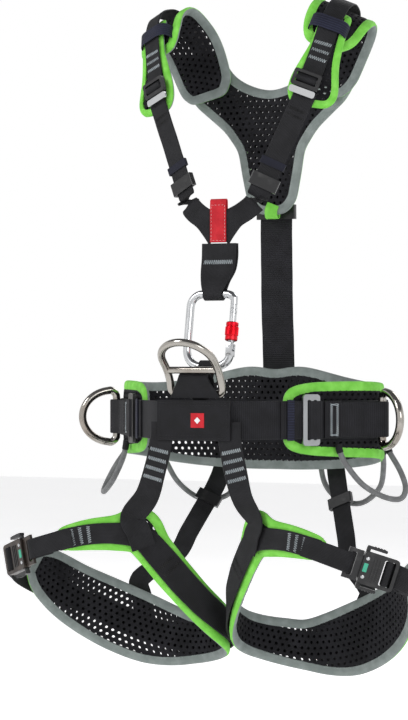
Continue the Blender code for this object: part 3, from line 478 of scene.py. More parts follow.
GEAR_GREY = new_material("gear_loop_cover", (0.13, 0.133, 0.136), 0.5, specular=0.35)
vary_color(GEAR_GREY, (0.19, 0.195, 0.2), 120, 0.4, 0.7)
add_bump(GEAR_GREY, wave(GEAR_GREY, 0.0018, "DIAGONAL"), 0.0003, 0.7)
GREEN_DOT = coated("green_indicator", (0.03, 0.35, 0.22), (0.05, 0.5, 0.3), metallic=0.0)


# ---------------------------------------------------------------- mesh helpers

def finish_mesh(name, bm, materials, side=1, body=BODY, smooth_angle=40):
    """Make the object, mirrored to -X where side is -1, and ride it on its body."""
    if side < 0:
        bmesh.ops.scale(bm, vec=(-1, 1, 1), verts=bm.verts)
        bmesh.ops.reverse_faces(bm, faces=bm.faces)
    mesh = bpy.data.meshes.new(name)
    bm.to_mesh(mesh)
    bm.free()
    mesh.shade_smooth()
    mesh.set_sharp_from_angle(angle=math.radians(smooth_angle))
    piece = bpy.data.objects.new(name, mesh)
    for look in materials:
        mesh.materials.append(look)
    bpy.context.scene.collection.objects.link(piece)
    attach(piece, body)
    return piece


def loft(bm, sections, closed=False, caps=True, uvs=None, material=0):
    """Join rings of points by quads; uvs gives (u, v) per ring and point, in metres."""
    layer = bm.loops.layers.uv.verify()
    rings = [[bm.verts.new(point) for point in ring] for ring in sections]
    count = len(rings[0])
    last = len(rings) - 1

    def add(corners):
        made = bm.faces.new([rings[r % len(rings)][k % count] for r, k in corners])
        made.material_index = material
        if uvs:
            for loop, (r, k) in zip(made.loops, corners):
                loop[layer].uv = uvs(r, k)
        return made

    for r in range(len(rings) if closed else last):
        for k in range(count):
            add(((r, k), (r, k + 1), (r + 1, k + 1), (r + 1, k)))
    if caps and not closed:
        bm.faces.new(rings[0][::-1]).material_index = material
        bm.faces.new(rings[-1]).material_index = material
    return rings


def strap_section(width, thickness):
    """Half of the points run over the top face and half back under it: (t, h)."""
    inner = width / 2 - thickness * 0.45
    top = [(-width / 2, 0.0)]
    top += [(-inner + 2 * inner * k / 4, thickness / 2) for k in range(5)]
    bottom = [(width / 2, 0.0)]
    bottom += [(inner - 2 * inner * k / 4, -thickness / 2) for k in range(5)]
    return top + bottom


def strap(name, ribbon, thickness, look, side=1, body=BODY, replaces=None, step=0.003, ripple=0.0):
    """A length of webbing with soft edges along a ribbon."""
    end = ribbon.total
    count = max(2, int(end / step))
    stops = [end * k / count for k in range(count + (0 if ribbon.closed else 1))]
    sections, spans = [], []
    for s in stops:
        wobble = ripple * (math.sin(s * 71) + 0.6 * math.sin(s * 173 + 1))
        section = strap_section(ribbon.width(s), thickness)
        sections.append([ribbon.point(s, t, h + wobble) for t, h in section])
        spans.append([(t, s) for t, h in section])

    def uv(r, k):
        if r == len(spans):
            return spans[0][k % len(spans[0])][0], end
        return spans[r][k % len(spans[r])]

    bm = bmesh.new()
    loft(bm, sections, closed=ribbon.closed, uvs=uv)
    bmesh.ops.recalc_face_normals(bm, faces=bm.faces)
    piece = finish_mesh(name, bm, [look], side, body)
    if replaces:
        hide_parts(replaces)
    return piece


def side_view(frame, path):
    """Points in space from (x, z) pairs in a frame."""
    return [frame @ Vector((x, 0, z)) for x, z in path]


def y_axis(frame):
    return frame.to_3x3() @ Vector((0, 1, 0))


def path_ribbon(points, width, across):
    """A ribbon through a list of points with one direction across."""
    return Ribbon([(*point, width, *across) for point in smooth([tuple(p) for p in points], 6)])


def tube_into(bm, points, radii, sides, closed=False, material=0):
    """A round tube along points with flat ends where it is open."""
    along = tangents(points, closed)
    normal = along[0].orthogonal().normalized()
    sections, travelled, travel = [], 0.0, []
    for index, (point, direction, radius) in enumerate(zip(points, along, radii)):
        if index:
            travelled += (point - points[index - 1]).length
        travel.append(travelled)
        normal = (normal - normal.dot(direction) * direction).normalized()
        other = direction.cross(normal)
        turns = [2 * math.pi * k / sides for k in range(sides)]
        sections.append([point + radius * (math.cos(a) * normal + math.sin(a) * other) for a in turns])
    if closed:
        shift = min(range(sides), key=lambda k: (sections[0][k] - sections[-1][0]).length)
        sections.append(sections[0][shift:] + sections[0][:shift])
        travel.append(travelled + (points[0] - points[-1]).length)
    loft(bm, sections, caps=not closed, material=material,
         uvs=lambda r, k: (k * 2 * math.pi * radii[0] / sides, travel[r]))
    if closed:
        bmesh.ops.remove_doubles(bm, verts=bm.verts, dist=1e-6)


def box_into(bm, low, high, matrix=None, bevel=0.0):
    """A box between two corners of a local frame, its edges rounded."""
    size = [b - a for a, b in zip(low, high)]
    middle = [(a + b) / 2 for a, b in zip(low, high)]
    place = (matrix or Matrix()) @ Matrix.Translation(middle) @ Matrix.Diagonal((*size, 1))
    made = bmesh.ops.create_cube(bm, size=1, matrix=place)
    edges = {edge for vert in made["verts"] for edge in vert.link_edges}
    if bevel:
        bmesh.ops.bevel(bm, geom=list(edges), offset=bevel, segments=2, profile=0.6, affect="EDGES")


def turned_into(bm, profile, matrix, sides=20):
    """A turned body from (radius, height) pairs, closed at both ends."""
    sections = []
    for radius, height in profile:
        turns = [2 * math.pi * k / sides for k in range(sides)]
        sections.append([matrix @ Vector((radius * math.cos(a), radius * math.sin(a), height)) for a in turns])
    loft(bm, sections)


# ---------------------------------------------------------------- perforated pads

PITCH_S = 0.0082        # holes along and across the pad
PITCH_T = 0.0071
HOLE = 0.002           # their radius
RIM_GAP = 0.005        # least distance of a hole's centre from the pad's edge
EDGE_HALF = 0.0021      # half the foam's thickness at that edge


def resample(points, step):
    """Evenly spaced points round a closed plane outline."""
    points = np.array(points)
    around = np.vstack([points, points[:1]])
    lengths = np.concatenate([[0], np.cumsum(np.linalg.norm(np.diff(around, axis=0), axis=1))])
    count = int(lengths[-1] / step)
    stops = np.linspace(0, lengths[-1], count, endpoint=False)
    return np.stack([np.interp(stops, lengths, around[:, k]) for k in range(2)], axis=1)


def soften(points, passes):
    """Round an outline's corners."""
    for _ in range(passes):
        points = 0.5 * points + 0.25 * (np.roll(points, 1, axis=0) + np.roll(points, -1, axis=0))
    return points


def edge_distance(places, outline):
    """Signed distance of plane points to an outline, positive inside."""
    a, b = outline, np.roll(outline, -1, axis=0)
    ab = b - a
    ap = places[:, None, :] - a[None]
    part = np.clip((ap * ab).sum(2) / (ab * ab).sum(1), 0, 1)
    gap = np.linalg.norm(ap - part[..., None] * ab, axis=2).min(axis=1)
    crosses = (a[None, :, 1] > places[:, None, 1]) != (b[None, :, 1] > places[:, None, 1])
    x = a[None, :, 0] + (places[:, None, 1] - a[None, :, 1]) * ab[None, :, 0] / (ab[None, :, 1] + 1e-12)
    inside = (crosses & (places[:, None, 0] < x)).sum(1) % 2 == 1
    return np.where(inside, gap, -gap)


def pad(name, outline, place, thickness, side=1, binding=0.011, replaces="", rounds=6):
    """A perforated foam pad and its binding.

    outline is a closed plane outline in (s, t); place(s, t, h) puts a point of the pad in space,
    h out of its outer face.
    """
    outline = soften(resample(outline, 0.003), rounds)
    low, high = outline.min(axis=0), outline.max(axis=0)
    area = 0.5 * np.sum(outline[:, 0] * np.roll(outline[:, 1], -1) - outline[:, 1] * np.roll(outline[:, 0], -1))
    if area < 0:
        outline = outline[::-1]

    columns = int((high[0] - low[0]) / PITCH_S) + 2
    lines = int((high[1] - low[1]) / PITCH_T) + 1
    origin = ((low + high) / 2) - np.array([columns * PITCH_S, lines * PITCH_T]) / 2
    core_half = thickness / 2 - 0.0002
    centres = [(origin[0] + (i + 0.5 * (j % 2)) * PITCH_S, origin[1] + (j + 0.5) * PITCH_T, i, j)
               for j in range(lines) for i in range(columns)]
    gaps = edge_distance(np.array([c[:2] for c in centres]), outline)
    kept = [c for c, gap in zip(centres, gaps) if gap > RIM_GAP]

    bm = bmesh.new()
    corners = {}
    ring = [(-1, -1), (0, -1), (1, -1), (1, 0), (1, 1), (0, 1), (-1, 1), (-1, 0)]
    for s, t, i, j in kept:
        for x, y in ring:
            corners.setdefault((2 * i + (j % 2) + x, 2 * j + y), (s + x * PITCH_S / 2, t + y * PITCH_T / 2))
    keys = list(corners)
    spots = np.array([corners[key] for key in keys])

    def half_height(gap):
        ease = np.clip((gap - 0.001) / 0.015, 0, 1)
        return EDGE_HALF + (core_half - EDGE_HALF) * ease * ease * (3 - 2 * ease)

    heights = dict(zip(keys, half_height(edge_distance(spots, outline))))
    verts = {key: [bm.verts.new(place(*corners[key], sign * heights[key])) for sign in (1, -1)] for key in keys}
    for s, t, i, j in kept:
        rim = [(2 * i + (j % 2) + x, 2 * j + y) for x, y in ring]
        height = sum(heights[key] for key in rim) / 8
        mouth = [(s + HOLE * math.cos(a), t + HOLE * math.sin(a))
                 for a in [math.radians(225 + 45 * k) for k in range(8)]]
        front = [bm.verts.new(place(x, y, height - 0.0004)) for x, y in mouth]
        back = [bm.verts.new(place(x, y, 0.0004 - height)) for x, y in mouth]
        for k in range(8):
            n = (k + 1) % 8
            bm.faces.new((verts[rim[k]][0], verts[rim[n]][0], front[n], front[k]))
            bm.faces.new((verts[rim[n]][1], verts[rim[k]][1], back[k], back[n]))
            bm.faces.new((front[k], front[n], back[n], back[k]))
    border = [edge for edge in bm.edges if edge.is_boundary]
    partner = dict(verts.values())
    for edge in border:
        first, second = edge.verts
        if first in partner and second in partner:
            direction = edge.link_loops[0].vert is first
            a, b = (second, first) if direction else (first, second)
            bm.faces.new((a, b, partner[b], partner[a]))
    foam = finish_mesh(name, bm, [FOAM], side, smooth_angle=60)
    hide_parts(replaces)
    bind(name + "_binding", outline, place, EDGE_HALF + 0.0009, binding, side)


def bind(name, outline, place, half, width, side):
    """Binding tape folded over a pad's edge, with its row of stitches."""
    ahead, behind = np.roll(outline, -1, axis=0), np.roll(outline, 1, axis=0)
    direction = ahead - behind
    direction /= np.linalg.norm(direction, axis=1)[:, None]
    inward = np.stack([-direction[:, 1], direction[:, 0]], axis=1)
    section = [(width, half - 0.0016), (width - 0.0003, half + 0.0008), (width * 0.55, half + 0.0008),
               (0.0022, half + 0.0001), (0.0002, half * 0.62), (-0.0004, 0.0), (0.0002, -half * 0.62),
               (0.0022, -half - 0.0001), (width * 0.55, -half - 0.0008), (width - 0.0003, -half - 0.0008),
               (width, 0.0016 - half)]
    bm = bmesh.new()
    layer = bm.loops.layers.uv.verify()
    rings, travel = [], 0.0
    travels = []
    for index, (spot, turn) in enumerate(zip(outline, inward)):
        pucker = 0.00035 * math.sin(index * 1.9) + 0.00025 * math.sin(index * 0.83 + 1)
        ring = []
        for reach, height in section:
            swell = pucker if 0.001 < reach < width * 0.9 else 0.0
            x, y = spot + turn * reach
            ring.append(bm.verts.new(place(x, y, height + math.copysign(swell, height) if height else 0.0)))
        rings.append(ring)
        travels.append(travel)
        travel += float(np.linalg.norm(ahead[index] - spot))
    middle = len(section) // 2
    run = [0.0]
    for (a, b), (c, d) in zip(section, section[1:]):
        run.append(run[-1] + math.hypot(c - a, d - b))
    for r in range(len(rings)):
        n = (r + 1) % len(rings)
        end = travels[r + 1] if r + 1 < len(travels) else travel
        for k in range(len(section) - 1):
            face = bm.faces.new((rings[r][k], rings[r][k + 1], rings[n][k + 1], rings[n][k]))
            face.material_index = 0 if k < middle else 1
            for loop, uv in zip(face.loops, ((run[k], travels[r]), (run[k + 1], travels[r]),
                                             (run[k + 1], end), (run[k], end))):
                loop[layer].uv = uv
        face = bm.faces.new((rings[r][-1], rings[r][0], rings[n][0], rings[n][-1]))
        face.material_index = 1
    bmesh.ops.recalc_face_normals(bm, faces=bm.faces)
    finish_mesh(name, bm, [GREEN_TAPE, GREY_TAPE], side, smooth_angle=50)

    bm = bmesh.new()
    pace = 0.0042
    count = int(travel / pace)
    stops = np.linspace(0, travel, count, endpoint=False)
    loops = np.vstack([outline, outline[:1]])
    turns = np.vstack([inward, inward[:1]])
    marks = np.array(travels + [travel])
    for stop in stops:
        spots = []
        for offset in (0.0, 0.0027):
            at = (stop + offset) % travel
            spot = np.array([np.interp(at, marks, loops[:, k]) for k in range(2)])
            turn = np.array([np.interp(at, marks, turns[:, k]) for k in range(2)])
            spots.append(spot + turn * (width - 0.0018))
        for sign in (1, -1):
            thread_into(bm, place, spots[0], spots[1], sign * (half + 0.0007), 0 if sign > 0 else 1)
    finish_mesh(name + "_stitches", bm, [GREEN_THREAD, SILVER_THREAD], side)


def thread_into(bm, place, first, second, height, material=0, radius=0.00035):
    """One short stitch: a low prism that sinks in at both ends."""
    line = np.array(second) - np.array(first)
    side = np.array([-line[1], line[0]]) / (np.linalg.norm(line) + 1e-9) * radius
    rise = math.copysign(radius, height)
    rings = []
    for part, lift in ((0.0, -0.6), (0.25, 0.8), (0.75, 0.8), (1.0, -0.6)):
        spot = first + line * part
        low = height - rise
        rings.append([place(*(spot - side), low), place(*spot, height + rise * lift), place(*(spot + side), low)])
    made = [[bm.verts.new(point) for point in ring] for ring in rings]
    for a, b in zip(made, made[1:]):
        for k in range(2):
            corners = (a[k], a[k + 1], b[k + 1], b[k])
            face = bm.faces.new(corners if height < 0 else corners[::-1])
            face.material_index = material


def tack_into(bm, ribbon, s, width, lift, length=0.005, t=0.0):
    """A bar tack across a ribbon: a row of close parallel threads."""
    count = max(2, int(width / 0.0012))
    for k in range(count):
        across = t - width / 2 + (k + 0.5) * width / count
        slant = 0.0005 if k % 2 else -0.0005
        thread_into(bm, ribbon.point, np.array([s - length / 2, across - slant]),
                    np.array([s + length / 2, across + slant]), lift + 0.0002, 0, 0.00055)


# ---------------------------------------------------------------- ribbons of the harness

PAD_FIRST = 2.3         # the waist pad's ends, as places round the waist
PAD_LAST = 17.7
PAD_STATIONS = 150


def ribbon_outline(ribbon, low, high, spacing=0.006):
    """A strip's closed outline in (s, t), from its lower and upper edge."""
    stops = np.linspace(0, ribbon.total, int(ribbon.total / spacing) + 2)
    return [(s, low(s)) for s in stops] + [(s, high(s)) for s in stops[::-1]]


def waist_ribbon():
    """The waist pad's whole length as a ribbon."""
    places = [PAD_FIRST + (PAD_LAST - PAD_FIRST) * k / (PAD_STATIONS - 1) for k in range(PAD_STATIONS)]
    return Ribbon([(*waist_point(place, 0, 0), BELT_WIDTH, 0, 0, 1) for place in places])


def belt_span(first, last, lift, width=BELT_WIDTH):
    """A ribbon along the belt between two places of its outline."""
    places = [first + (last - first) * k / 24 for k in range(25)]
    return Ribbon([(*waist_point(place, lift, 0), width, 0, 0, 1) for place in places])


def strip(rows, per_span):
    """A ribbon through rows of x, y, z, width and the direction across."""
    return Ribbon(smooth([tuple(row) for row in rows], per_span))


LEG_PAD_RIBBON = Ribbon([(*leg_point(a, 0, z), w, *UP) for a, z, w in smooth(LEG_PAD, 6)])


def leg_station(angle):
    """Length along the leg pad's ribbon at an angle of the leg loop."""
    angles = [row[0] for row in smooth(LEG_PAD, 6)]
    return float(np.interp(angle, angles, LEG_PAD_RIBBON.lengths))


LEG_WEB_RIBBON = Ribbon([(*leg_point(a, lift, z), w, *UP) for a, z, w, lift in smooth(LEG_STRAP, 6)])
SHOULDER_RIBBON = strip(SHOULDER, 6)
CHEST_RIBBON = strip(CHEST, 6)


# ---------------------------------------------------------------- pads

def make_pads():
    """The foam pads of belt, back, legs, shoulders and chest."""
    ribbon = waist_ribbon()
    edges = np.array(smooth(WAIST_EDGES, 4))
    places = np.interp(np.arange(PAD_STATIONS), [0, PAD_STATIONS - 1], [PAD_FIRST, PAD_LAST])

    def edge(column):
        def height(s):
            place = float(np.interp(s, ribbon.lengths, places))
            return float(np.interp(min(place, WAIST_PLACES - place), edges[:, 0], edges[:, column]))
        return height

    pad("belt_pad", ribbon_outline(ribbon, edge(1), edge(2)), ribbon.point, 0.01, replaces="waist_pad", rounds=10)

    def back(s, t, h):
        x = -s
        return Vector((x, 0.1225 - 0.055 * math.sqrt(x * x + 0.0003) - 0.015 * (t - 0.25) + h, t))

    half = [(-x, z) for x, z in BACK_HALF]
    pad("back_foam", half + [(-s, z) for s, z in half[-2:0:-1]], back, 0.009, replaces="back_pad", rounds=8)

    for tag, side in SIDES:
        for name, band, thickness, old in (("leg_foam_", LEG_PAD_RIBBON, 0.01, "leg_pad_"),
                                           ("shoulder_foam_", SHOULDER_RIBBON, 0.008, "shoulder_pad_"),
                                           ("chest_foam_", CHEST_RIBBON, 0.007, "chest_pad_")):
            peak = leg_station(262) if band is LEG_PAD_RIBBON else -1.0
            outline = ribbon_outline(band, lambda s: -band.width(s) / 2,
                                     lambda s: band.width(s) / 2 + 0.013 * math.exp(-((s - peak) / 0.017) ** 2), 0.004)
            width = 0.0085 if name == "chest_foam_" else 0.0105
            pad(name + tag, outline, band.point, thickness, side, width, old + tag)


# ---------------------------------------------------------------- webbing

LEG_BUCKLE_ANGLE = 335          # its place round the leg loop, in degrees
LEG_BUCKLE_HEIGHT = -0.162
LEG_BUCKLE_DROP = math.radians(18)
KEEPER_PLACE = 0.07            # the shoulder keeper's, along the shoulder webbing
STITCH_PITCH = 0.004
STITCH_LENGTH = 0.0027


def tacks(name, ribbon, places, width, lift, side=1, look=None, length=0.005, t=0.0):
    """Bar tacks across a ribbon at several lengths along it."""
    bm = bmesh.new()
    for s in places:
        tack_into(bm, ribbon, s, width, lift, length, t)
    return finish_mesh(name, bm, [look or SILVER_THREAD], side)


def seam_into(bm, place, corners, lift, radius=0.0003):
    """A row of stitches along a chain of (s, t) corners."""
    for first, second in zip(corners, corners[1:]):
        first, second = np.array(first), np.array(second)
        length = float(np.linalg.norm(second - first))
        count = max(1, round(length / STITCH_PITCH))
        for k in range(count):
            start = first + (second - first) * k / count
            end = start + (second - first) / length * STITCH_LENGTH
            thread_into(bm, place, start, end, lift, radius=radius)


def seams(name, ribbon, chains, lift, look, side=1, body=BODY, radius=0.0003):
    bm = bmesh.new()
    for corners in chains:
        seam_into(bm, ribbon.point, corners, lift, radius=radius)
    return finish_mesh(name, bm, [look], side, body)


def make_belt():
    """The belt's webbing, front panel, folded ends and keepers."""
    count = 168
    places = [WAIST_PLACES * k / count for k in range(count)]
    ring = Ribbon([(*waist_point(p, BELT_LIFT, 0), BELT_WIDTH, 0, 0, 1) for p in places], closed=True)
    strap("belt_web", ring, BELT_WEB, BELT_BLACK, replaces="waist_webbing", step=0.005, ripple=0.0001)

    rows = [(-0.0475, -0.1069, 0.0), (-0.03, -0.1078, 0.0), (0.0, -0.1079, 0.0), (0.03, -0.1078, 0.0),
            (0.0455, -0.1069, 0.0)]
    panel = path_ribbon([Vector(row) for row in rows], 0.047, UP)
    strap("panel_cover", panel, 0.0026, SMOOTH_BLACK, replaces="front_panel", step=0.002)
    edge, end = 0.0205, panel.total
    chains = [[(0.003, t), (end - 0.003, t)] for t in (-edge, edge, 0.003 - edge, edge - 0.003)]
    chains += [[(s, -edge), (s, edge)] for s in (0.0035, end - 0.0035)]
    seams("panel_seams", panel, chains, 0.0014, BLACK_THREAD)
    make_patch(panel)

    for tag, side in SIDES:
        cover = belt_span(2.15, 2.86, BELT_LIFT + 0.0024, 0.0445)
        strap("belt_return_" + tag, cover, 0.0022, BELT_BLACK, side=side)
        chains = [[(0.002, t), (cover.total - 0.003, t)] for t in (-0.0195, 0.0195)]
        seams("belt_return_seams_" + tag, cover, chains, 0.0011, BLACK_THREAD, side)
        keeper = belt_span(2.3, 2.47, BELT_LIFT + 0.0047, 0.0475)
        strap("belt_keeper_" + tag, keeper, 0.0018, ELASTIC, side=side, step=0.002)
        make_waist_buckle_web(tag, side)
        make_ring_tab(tag, side)


def make_patch(panel):
    """A red woven square with a plain white diamond."""
    half = 0.0085
    bm = bmesh.new()
    matrix = panel.matrix(panel.total / 2 + 0.006, 0.0, 0.0014)
    box_into(bm, (-half, -half, -0.0006), (half, half, 0.0005), matrix, 0.0003)
    finish_mesh("panel_patch", bm, [RED_CLOTH])
    bm = bmesh.new()
    diamond = 0.0028
    turn = matrix @ Matrix.Rotation(math.radians(45), 4, "Z")
    box_into(bm, (-diamond, -diamond, 0.0004), (diamond, diamond, 0.0008), turn, 0.0002)
    finish_mesh("patch_mark", bm, [WHITE_THREAD])


def buckle_frame():
    """The waist buckle's frame on the belt, as in the CAD model."""
    here, ahead = waist_point(2.92, BUCKLE_LIFT, 0), waist_point(3.05, BUCKLE_LIFT, 0)
    return local_frame(here, ahead - here, (ahead - here).cross(UP))


def make_waist_buckle_web(tag, side):
    """The belt's end threaded over the buckle's middle bar and back under its ends."""
    turn = buckle_frame()
    path = [(-0.0165, -0.0026), (-0.009, -0.0024), (-0.0038, 0.0), (-0.0016, 0.003), (0.002, 0.0033),
            (0.007, 0.0034), (0.0115, 0.003), (0.0138, 0.0005), (0.012, -0.0024)]
    ribbon = path_ribbon(side_view(turn, path), 0.0446, UP)
    strap("buckle_web_" + tag, ribbon, 0.0018, BELT_BLACK, side=side, body="waist_buckle_" + tag, step=0.0012)


def make_ring_tab(tag, side):
    """The fold that holds a side ring, and the second layer on the belt beside it."""
    bar = Vector((*D_BAR, 0))
    radius = D_TUBE + 0.0017
    start = [waist_point(place, BUCKLE_LIFT - 0.002, 0) for place in (3.75, 4.05, 4.35, 4.6)]
    turn = [bar + radius * Vector((math.cos(a), math.sin(a), 0))
            for a in [math.radians(angle) for angle in (-62, -30, 0, 30, 60, 90, 120)]]
    ribbon = path_ribbon(start + turn, 0.042, UP)
    strap("ring_tab_" + tag, ribbon, WEB, BELT_BLACK, side=side, replaces="d_ring_tab_" + tag, step=0.0015)
    edge = 0.0175
    bars = (0.006, 0.029)
    seams("ring_tab_seams_" + tag, ribbon, [[(s, -edge), (s, edge)] for s in bars], 0.0012, BLACK_THREAD, side)

    block = belt_span(3.32, 3.8, BELT_LIFT + 0.0024, 0.044)
    strap("belt_layer_" + tag, block, 0.0022, BELT_BLACK, side=side)
    tacks("belt_layer_tacks_" + tag, block, [0.0085, 0.0165], 0.038, 0.0011, side, length=0.0038)
    tacks("belt_layer_ends_" + tag, block, [0.0125], 0.0022, 0.0011, side, length=0.01, t=0.0178)
    tacks("belt_layer_feet_" + tag, block, [0.0125], 0.0022, 0.0011, side, length=0.01, t=-0.0178)


def make_ring_web():
    """The tongue on the ventral ring's lower bar and the loop under the carabiner."""
    wrap = RING_TUBE + 0.0015
    front = [(-0.003, -wrap, 0.064), (0.006, -wrap, 0.054), (0.015, -wrap, 0.045), (0.021, -0.0044, 0.04)]
    fold = [(0.0234, -0.003, 0.038), (0.0244, 0.0, 0.038), (0.0234, 0.003, 0.038)]
    back = [(0.021, 0.0044, 0.04), (0.015, wrap, 0.042), (0.006, wrap, 0.042)]
    ribbon = strip([(*ring_place(h, offset), width, -1, 0, 0) for h, offset, width in front + fold + back], 5)
    strap("ring_web", ribbon, WEB, SMOOTH_BLACK, replaces="ring_tongue", body="ventral_ring", step=0.0015)
    edge = 0.0185
    seams("ring_web_seams", ribbon, [[(0.003, -edge - 0.004), (0.02, -edge)], [(0.003, edge + 0.004),
          (0.02, edge)], [(0.0035, -edge), (0.0035, edge)]], -0.0012, BLACK_THREAD, body="ventral_ring")

    bar = carabiner_frame() @ Vector((0, 0, -CARABINER_HEIGHT))
    radius = CARABINER_TUBE + WEB / 2 + 0.0007
    front = [(-0.0971, -0.012), (-0.0969, 0.006), (-0.0945, 0.019), (-0.09, 0.033), (-0.0842, 0.048)]
    turns = [math.radians(angle) for angle in (195, 165, 135, 105, 75, 45, 15, -15, -45, -75)]
    round_bar = [(bar.y + radius * math.cos(a), bar.z + radius * math.sin(a)) for a in turns]
    back = [(-0.0785, 0.042), (-0.0865, 0.029), (-0.0918, 0.016), (-0.0938, 0.004), (-0.094, -0.012)]
    loop = strip([(0, y, z, 0.018, 1, 0, 0) for y, z in front + round_bar + back], 5)
    strap("carabiner_loop_web", loop, WEB, BLACK_WEB, replaces="tie_in_loop", step=0.0015)


def ring_place(length, offset=0.0, x=0.0):
    """A point on the ring's bent middle plane at a length above the bottom bar."""
    line = [Vector((0, y, z)) for y, z in smooth(RING_LINE, 6)]
    for first, second in zip(line, line[1:]):
        span = (second - first).length
        if length <= span or second is line[-1]:
            along = (second - first) / span
            backward = Vector((0, along.z, -along.y))
            return first + along * length + backward * offset + Vector((x, 0, 0))
        length -= span
    return line[-1]


def carabiner_frame():
    """x to the wearer's left, z up along the carabiner from the middle of its top bar."""
    return Matrix.Translation((0.0, *CARABINER_TOP)) @ Matrix.Rotation(-CARABINER_LEAN, 4, "X")


def make_chest():
    """Sternal loop, its label and the straps of the chest V."""
    layer = WEB + 0.0005
    top_y, top_z = CARABINER_TOP
    radius = CARABINER_TUBE + WEB / 2 + 0.0007
    front = [(STERNAL_Y - layer, 0.208, 0.045), (STERNAL_Y - layer - 0.0008, 0.19, 0.045),
             (-0.047, 0.174, 0.043), (-0.056, 0.16, 0.034)]
    turns = [math.radians(angle) for angle in (170, 205, 240, 270, 300, 335, 370)]
    under = [(top_y + radius * math.cos(a), top_z + radius * math.sin(a), 0.025) for a in turns]
    back = [(-0.047, 0.162, 0.034), (-0.04, 0.176, 0.043), (STERNAL_Y + layer, 0.192, 0.045),
            (STERNAL_Y + layer, 0.208, 0.045)]
    loop = strip([(0.0015, y, z, w, 1, 0, 0) for y, z, w in front + under + back], 5)
    strap("sternal_web", loop, WEB, BLACK_WEB, replaces="sternal_loop", step=0.0015)
    tacks("sternal_tack", loop, [0.0225], 0.037, 0.0011, length=0.006)
    seams("sternal_seams", loop, [[(0.003, -0.019), (0.018, -0.019)], [(0.003, 0.019), (0.018, 0.019)]],
          0.0011, BLACK_THREAD)

    ply = WEB / 2 + 0.0015
    line = [(STERNAL_Y - ply, 0.2095), (STERNAL_Y - ply, 0.233), (STERNAL_Y - ply, 0.256),
            (STERNAL_Y - 0.0009, 0.2603), (STERNAL_Y + 0.0009, 0.2603), (STERNAL_Y + ply, 0.256),
            (STERNAL_Y + ply, 0.233), (STERNAL_Y + ply, 0.2095)]
    label = strip([(0, y, z, 0.021, 1, 0, 0) for y, z in line], 4)
    strap("label_cover", label, 0.001, RED_CLOTH, replaces="sternal_label", step=0.0015)
    seams("label_seams", label, [[(0.002, -0.0088), (0.044, -0.0088), (0.044, 0.0088), (0.002, 0.0088),
          (0.002, -0.0088)]], -0.0006, WHITE_THREAD, radius=0.0002)

    for tag, side in SIDES:
        run = Vector(CHEST_STRAP[1]) - Vector(CHEST_STRAP[0])
        across, last = CHEST_FACING.cross(run), Vector((0.77, 0, -0.64))
        rows = [(*place, 0.027, *across.lerp(last, max(0, k - 7) / 2)) for k, place in enumerate(CHEST_STRAP)]
        rows += [(0.011, STERNAL_Y, 0.2315, 0.034, 0.45, 0, -0.89), (0.0008, STERNAL_Y, 0.225, 0.045, 0, 0, -1)]
        ribbon = strip(rows, 4)
        strap("chest_web_" + tag, ribbon, WEB, BLACK_WEB, side=side, replaces="chest_strap_" + tag, step=0.0025,
              ripple=0.0002)
        tacks("chest_tacks_" + tag, ribbon, [ribbon.total * 0.12, ribbon.total * 0.16], 0.021, 0.0011, side,
              BLACK_THREAD)
        make_shoulder_web(tag, side)


def make_shoulder_web(tag, side):
    """Shoulder webbing, its elastic keeper and its turn through the buckle."""
    front, over, down = (0.86, 0.28, -0.42), (0.9, 0.1, -0.38), (0.9, 0.0, -0.44)
    hints = [front] * 5 + [over] * 2 + [(0.95, 0.0, -0.3)] * 2 + [(0.93, 0.0, -0.35)] * 2 + [down] * 2
    rows = [(*place, 0.025, *(-value for value in hint)) for place, hint in zip(SHOULDER_WEB, hints)]
    ribbon = strip(rows, 5)
    strap("shoulder_web_" + tag, ribbon, WEB, BLACK_WEB, side=side, replaces="shoulder_webbing_" + tag,
          step=0.0025, ripple=0.0002)
    tacks("shoulder_tacks_" + tag, ribbon, [0.024, 0.034, 0.044], 0.021, 0.0011, side)
    profile = [(-0.0225, -0.017), (-0.0228, -0.008), (-0.0205, -0.0015), (-0.013, 0.0024), (0.0, 0.0028),
               (0.013, 0.0024), (0.0205, -0.0015), (0.0228, -0.008), (0.0225, -0.017)]
    along = ribbon.axes(KEEPER_PLACE)[1]
    keeper = path_ribbon([ribbon.point(KEEPER_PLACE, t, h) for t, h in profile], 0.018, along)
    strap("shoulder_keeper_" + tag, keeper, 0.0014, ELASTIC, side=side, step=0.002)

    turn = local_frame(Vector((0.0985, -0.01, 0.3965)), Vector((-0.3, -0.18, -0.9)), CHEST_FACING)
    path = [(-0.0125, -0.0036), (-0.0084, 0.0), (-0.006, 0.0034), (-0.0036, 0.0034), (-0.001, 0.0),
            (0.001, -0.0034), (0.006, -0.0042)]
    web = path_ribbon([ribbon.point(0.006, 0)] + side_view(turn, path), 0.0245, y_axis(turn))
    strap("shoulder_buckle_web_" + tag, web, 0.0018, BLACK_WEB, side=side, step=0.0012)


def make_dorsal():
    """The strap from the back pad to the belt and the pad's green tab."""
    ribbon = strip([(*point, 0.043, 1, 0, 0) for point in DORSAL], 6)
    strap("dorsal_web", ribbon, WEB, BELT_BLACK, replaces="dorsal_strap", step=0.004, ripple=0.0003)
    tacks("dorsal_tacks", ribbon, [0.006, 0.018, ribbon.total - 0.036, ribbon.total - 0.01], 0.038, -0.0011,
          look=BLACK_THREAD)
    tab = path_ribbon([Vector((0.003, 0.1172, 0.264)), Vector((0.0, 0.1165, 0.256)), Vector((0.0, 0.1185, 0.2475)),
                       Vector((0.0, 0.125, 0.2475)), Vector((0.0, 0.1268, 0.256))], 0.017, Vector((1, 0, 0)))
    strap("back_tab", tab, 0.0014, GREEN_TAPE, step=0.002)


